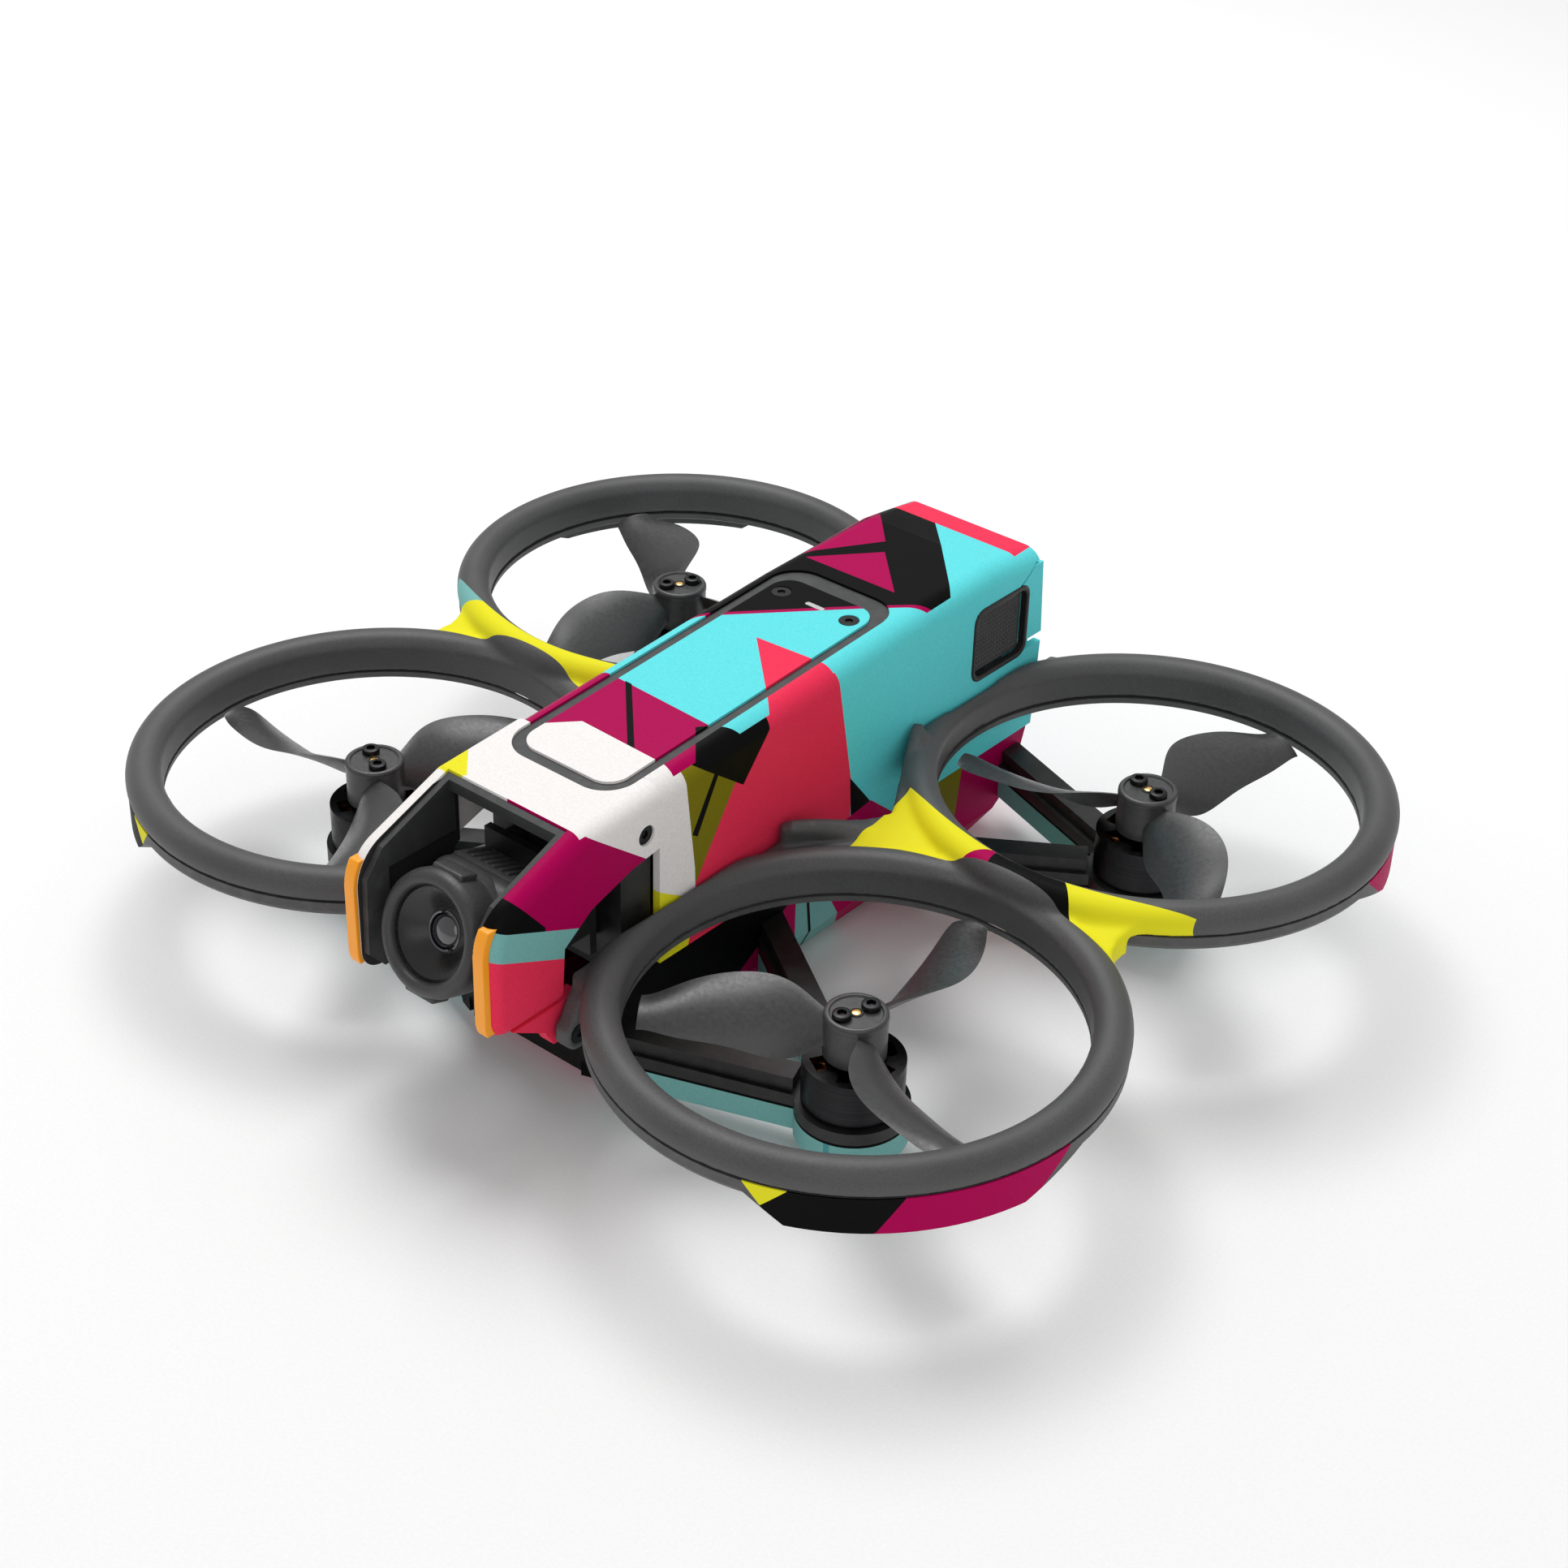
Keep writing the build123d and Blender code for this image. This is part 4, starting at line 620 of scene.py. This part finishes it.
for side_name, _ in SIDES:
    node = f"bumper_{side_name}"
    piece(f"bumper_strip_{side_name}", bumper_mesh(node), amber, "airframe", (node,))

for side_name, side in SIDES:
    node = f"guard_{side_name}"
    piece(f"guard_moulding_{side_name}", guard_mesh(node, side), guard_shaders[side_name], "airframe",
          (node,))


# ---------------------------------------------------------------- rotors
def at(x, y, z, turn=0.0):
    """A place in millimetres, turned about Z by degrees."""
    return Matrix.Translation(Vector((x, y, z)) * MM) @ Matrix.Rotation(radians(turn), 4, "Z")


def socket_screw(bm, place, radius, height, socket=0.95):
    """Cap screw: chamfered head, six-sided socket, standing on place."""
    edge = 0.25
    steps = 36
    outer = [(radius - 0.1, 0), (radius, 0.12), (radius, height - edge), (radius - 0.08, height - 0.09),
             (radius - edge, height)]
    rings = []
    for r, h in outer:
        ring = []
        for k in range(steps):
            turn = 2 * pi * k / steps
            ring.append(bm.verts.new(place @ (Vector((r * cos(turn), r * sin(turn), h)) * MM)))
        rings.append(ring)
    for r_of, h in ((1.0, height), (1.0, height - 0.7), (0.0, height - 0.85)):
        ring = []
        for k in range(steps):
            turn = 2 * pi * k / steps
            flat = socket * cos(pi / 6) / cos((turn % (pi / 3)) - pi / 6)
            r = flat * r_of
            ring.append(bm.verts.new(place @ (Vector((r * cos(turn), r * sin(turn), h)) * MM)))
        rings.append(ring)
    for here, there in zip(rings, rings[1:]):
        for k in range(steps):
            j = (k + 1) % steps
            bm.faces.new((here[k], here[j], there[j], there[k]))
    bm.faces.new(rings[0][::-1])


HUB_TOP = 30.9
SCREW_LINES = {"front_right": 70.0, "front_left": -30.0, "rear_right": -17.0, "rear_left": 63.0}


def hub_cap(corner, place):
    """Raised rim and the boss between the screws, on top of the hub."""
    bm = bmesh.new()
    rim = [(4.5, -0.3), (4.55, 0.1), (4.75, 0.32), (5.15, 0.36), (5.5, 0.2), (5.68, -0.1), (5.72, -0.9),
           (5.55, -1.3), (4.6, -1.3)]
    lathe(bm, rim, place)
    lathe(bm, [(1.25, -0.2), (1.25, 0.2), (1.1, 0.32), (1.0, 0.32), (1.0, -0.2)], place, 32)
    return finish_mesh(f"hub_cap_{corner}", bm)


def rotor_hardware(corner, sx, sy):
    lift = HUB_TOP + (REAR_RISE if sy > 0 else 0.0)
    place = at(sx * MOTOR_X, sy * MOTOR_Y, lift, SCREW_LINES[corner])
    piece(f"hub_cap_{corner}", hub_cap(corner, place), blade_plastic, f"rotor_{corner}")
    bm = bmesh.new()
    for x in (-2.9, 2.9):
        socket_screw(bm, place @ at(x, 0, 0.02), 1.7, 1.15)
    mesh = finish_mesh(f"hub_screws_{corner}", bm, 30)
    node = f"propeller_screws_{corner}"
    piece(f"hub_screws_{corner}", mesh, black_steel, f"rotor_{corner}", (node,))
    bm = bmesh.new()
    lathe(bm, [(0.02, -0.3), (0.9, -0.3), (0.9, 0.1), (0.8, 0.22), (0.5, 0.3), (0.02, 0.32)], place, 32)
    piece(f"shaft_tip_{corner}", finish_mesh(f"shaft_tip_{corner}", bm), brass, f"rotor_{corner}")


def windings(corner, sx, sy):
    """Copper coils on the stator's nine teeth, seen through the bell's windows."""
    lift = REAR_RISE if sy > 0 else 0.0
    bm = bmesh.new()
    for k in range(9):
        place = at(sx * MOTOR_X, sy * MOTOR_Y, lift, 40 * k) @ at(5.15, 0, 16.65)
        rounded_block(bm, (3.3, 2.7, 5.9), place, 0.55, 3)
    mesh = finish_mesh(f"windings_{corner}", bm, 60)
    piece(f"windings_{corner}", mesh, copper, "airframe")


copper = metal("enamelled_copper", (0.75, 0.3, 0.1), 0.3)
brass = metal("brass_tip", (0.95, 0.6, 0.22), 0.25)
for corner, (sx, sy) in CORNERS.items():
    rotor_hardware(corner, sx, sy)
    windings(corner, sx, sy)


# ---------------------------------------------------------------- camera front
TILT_AXIS = Vector((0.0, -74.0, 36.6))
LENS_TILT = 20.0


def lens_place():
    """Frame of the lens: its Z axis points out of the glass, from the tilt axis."""
    point = Matrix.Rotation(radians(90.0 - LENS_TILT), 4, "X")
    return Matrix.Translation(TILT_AXIS * MM) @ point


def on_lens(x, y, z):
    """A place in the lens's own frame, in millimetres: X across, Y up, Z forwards."""
    return lens_place() @ Matrix.Translation(Vector((x, y, z)) * MM)


def camera_housing():
    """Rounded housing behind the lens, with a ribbed plate on top."""
    bm = bmesh.new()
    rounded_block(bm, (21.6, 19.6, 14.4), on_lens(0, 0.3, -1.75), 3.4, 5)
    lathe(bm, [(1.0, 2.0), (10.3, 2.0), (10.75, 4.6), (10.6, 7.6), (8.6, 7.6), (1.0, 7.6)], lens_place(), 96)
    rounded_block(bm, (17.0, 1.6, 9.0), on_lens(0, 10.0, -3.0), 0.6, 2)
    for k in range(9):
        across = 1.7 * (k - 4)
        rounded_block(bm, (0.8, 1.0, 6.4), on_lens(across, 10.7, -3.0), 0.25, 2)
    return finish_mesh("camera_housing", bm, 40)


def lens_hood():
    bm = bmesh.new()
    profile = [(8.35, 7.2), (11.2, 6.8), (11.35, 8.6), (11.4, 11.6), (11.1, 12.6), (10.5, 13.3), (9.9, 13.55),
               (9.2, 13.5), (8.75, 13.2), (8.5, 12.6), (8.4, 11.9)]
    lathe(bm, profile, lens_place(), 96)
    for turn, width in ((90.0, 7.0), (-90.0, 7.0), (205.0, 5.0)):
        spun = lens_place() @ Matrix.Rotation(radians(turn), 4, "Z")
        rounded_block(bm, (1.5, width, 4.2), spun @ Matrix.Translation(Vector((11.2, 0, 9.6)) * MM), 0.45, 3)
    return finish_mesh("lens_hood", bm, 40)


def lens_cone():
    """Black funnel from the hood down to the small front element."""
    bm = bmesh.new()
    profile = [(8.38, 12.3), (8.2, 12.35), (8.05, 12.0)]
    steps = 12
    for k in range(steps):
        t = k / steps
        profile.append((8.0 - 5.0 * t ** 0.85, 11.8 - 3.6 * t))
    profile += [(3.0, 7.9), (3.0, 7.4), (8.38, 7.4)]
    lathe(bm, profile, lens_place(), 96)
    return finish_mesh("lens_funnel", bm, 25)


def lens_element():
    bm = bmesh.new()
    dome = [(0.02, 9.6)] + [(3.2 * sin(radians(a)), 8.1 + 1.5 * cos(radians(a))) for a in range(12, 91, 13)]
    lathe(bm, dome + [(3.2, 7.7), (0.02, 7.7)], lens_place(), 64)
    ring = [(3.15, 8.3), (3.7, 8.35), (3.75, 8.9), (3.5, 9.05), (3.2, 8.9)]
    lathe(bm, ring, lens_place(), 64)
    return finish_mesh("lens_element", bm, 40)


funnel = moulded("funnel_black", (0.006, 0.006, 0.007), 0.3, 0.5, 0.004, 0.05, 0.5)
piece("camera_housing", camera_housing(), camera_plastic, "camera",
      ("camera_body", "camera_cover"))
piece("lens_hood", lens_hood(), lens_plastic, "camera", ("lens_ring",))
piece("lens_funnel", lens_cone(), funnel, "camera")
piece("lens_element", lens_element(), coated_glass, "camera", ("lens_glass",))


# ---------------------------------------------------------------- release buttons
def button_grip(side):
    """Rounded frame round a field of small pyramids."""
    bm = bmesh.new()
    low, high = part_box(f"release_button_{'right' if side > 0 else 'left'}")
    face = (high.x if side > 0 else low.x) / MM
    y0, y1, z0, z1 = low.y / MM, high.y / MM, low.z / MM, high.z / MM
    rows, columns = 12, 14
    inset = 1.2
    across = (y1 - y0 - 2 * inset) / columns
    tall = (z1 - z0 - 2 * inset) / rows
    base = face - side * 0.55
    for i in range(columns):
        for j in range(rows):
            y, z = y0 + inset + across * (i + 0.5), z0 + inset + tall * (j + 0.5)
            corner_points = [(base, y + across * a, z + tall * b) for a, b in
                             ((-0.5, -0.5), (0.5, -0.5), (0.5, 0.5), (-0.5, 0.5))]
            ring = [bm.verts.new(Vector(c) * MM) for c in corner_points]
            peak = bm.verts.new(Vector((base + side * 0.4, y, z)) * MM)
            back_ring = [bm.verts.new(Vector((c[0] - side * 0.3, c[1], c[2])) * MM) for c in corner_points]
            for k in range(4):
                bm.faces.new((ring[k], ring[(k + 1) % 4], peak))
                bm.faces.new((back_ring[k], back_ring[(k + 1) % 4], ring[(k + 1) % 4], ring[k]))
            bm.faces.new(back_ring[::-1])
    thick = 2.2
    middle = (base - side * thick / 2, (y0 + y1) / 2, (z0 + z1) / 2)
    rounded_block(bm, (thick, y1 - y0, z1 - z0), at(*middle), 0.7, 3)
    return finish_mesh("grip", bm, 30)


def rounded_outline(y0, y1, z0, z1, r, steps=8):
    """Points round a rectangle with rounded corners, in a side view."""
    points = []
    centres = ((y1 - r, z1 - r, 0), (y0 + r, z1 - r, 90), (y0 + r, z0 + r, 180), (y1 - r, z0 + r, 270))
    for cy, cz, start in centres:
        for k in range(steps + 1):
            turn = radians(start + 90 * k / steps)
            points.append((cy + r * cos(turn), cz + r * sin(turn)))
    return points


def button_frame(side):
    """Raised rounded frame round the release button."""
    bm = bmesh.new()
    low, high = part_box(f"release_button_{'right' if side > 0 else 'left'}")
    y0, y1, z0, z1 = low.y / MM, high.y / MM, low.z / MM, high.z / MM
    wall = FLANK_X
    loops = []
    # how far outside the button, at which X, and with which corner radius each loop of the frame runs
    section = ((0.15, wall - 1.2, 2.0), (0.15, wall + 0.1, 2.0), (0.4, wall + 0.3, 2.2),
               (0.9, wall + 0.3, 2.6), (1.2, wall + 0.1, 2.9), (1.2, wall - 1.2, 2.9))
    for grow, x, r in section:
        outline = rounded_outline(y0 - grow, y1 + grow, z0 - grow, z1 + grow, r)
        loops.append([bm.verts.new(Vector((side * x, y, z)) * MM) for y, z in outline])
    count = len(loops[0])
    for here, there in zip(loops, loops[1:] + loops[:1]):
        for k in range(count):
            j = (k + 1) % count
            bm.faces.new((here[k], here[j], there[j], there[k]))
    return finish_mesh("frame", bm, 40)


for side_name, side in SIDES:
    node = f"release_button_{side_name}"
    piece(f"button_grip_{side_name}", button_grip(side), button_plastic, node, (node,))
    piece(f"button_frame_{side_name}", button_frame(side), black_plastic, "battery")


# ---------------------------------------------------------------- stage, lights and camera
def stage():
    paper = Shader("paper", 0.9, specular=0.1)
    fibre = paper.span(paper.noise(0.6, 2.0), 0.3, 0.7, 0.9, 0.93)
    paper.colour(paper.combine(fibre, fibre, fibre))
    mesh = bpy.data.meshes.new("floor")
    half = 2.5
    corners = [(-half, -half, 0), (half, -half, 0), (half, half, 0), (-half, half, 0)]
    mesh.from_pydata(corners, [], [(0, 1, 2, 3)])
    floor = bpy.data.objects.new("floor", mesh)
    floor.data.materials.append(paper.material)
    bpy.context.scene.collection.objects.link(floor)


def area_light(name, place, size, power, target=(0, 0, 0.03)):
    data = bpy.data.lights.new(name, "AREA")
    data.shape = "DISK"
    data.size = size
    data.energy = power
    lamp = bpy.data.objects.new(name, data)
    lamp.location = place
    lamp.rotation_euler = (Vector(target) - Vector(place)).to_track_quat("-Z", "Y").to_euler()
    bpy.context.scene.collection.objects.link(lamp)


def lights():
    area_light("key", (-0.35, 0.25, 0.95), 0.7, 7.0)
    area_light("fill", (0.8, -0.75, 0.6), 1.0, 2.0)
    world = bpy.data.worlds.new("studio")
    world.use_nodes = True
    world.node_tree.nodes["Background"].inputs["Color"].default_value = (1, 1, 1, 1)
    world.node_tree.nodes["Background"].inputs["Strength"].default_value = 0.55
    bpy.context.scene.world = world


def camera():
    azimuth, elevation, roll = radians(39.383), radians(32.555), radians(1.652)
    data = bpy.data.cameras.new("camera")
    data.lens = 64.39
    data.sensor_width = 36.0
    data.clip_start = 0.01
    item = bpy.data.objects.new("camera", data)
    back = Vector((sin(azimuth) * cos(elevation), -cos(azimuth) * cos(elevation), sin(elevation)))
    right = Vector((cos(azimuth), sin(azimuth), 0))
    up = back.cross(right)
    across = right * cos(roll) + up * sin(roll)
    above = up * cos(roll) - right * sin(roll)
    place = Vector((0.006439, 0.0, 0.033339)) + back * 0.531665
    item.matrix_world = Matrix((
        (across.x, above.x, back.x, place.x),
        (across.y, above.y, back.y, place.y),
        (across.z, above.z, back.z, place.z),
        (0, 0, 0, 1),
    ))
    bpy.context.scene.collection.objects.link(item)
    bpy.context.scene.camera = item


stage()
lights()
camera()
bpy.context.scene.view_settings.view_transform = "Standard"
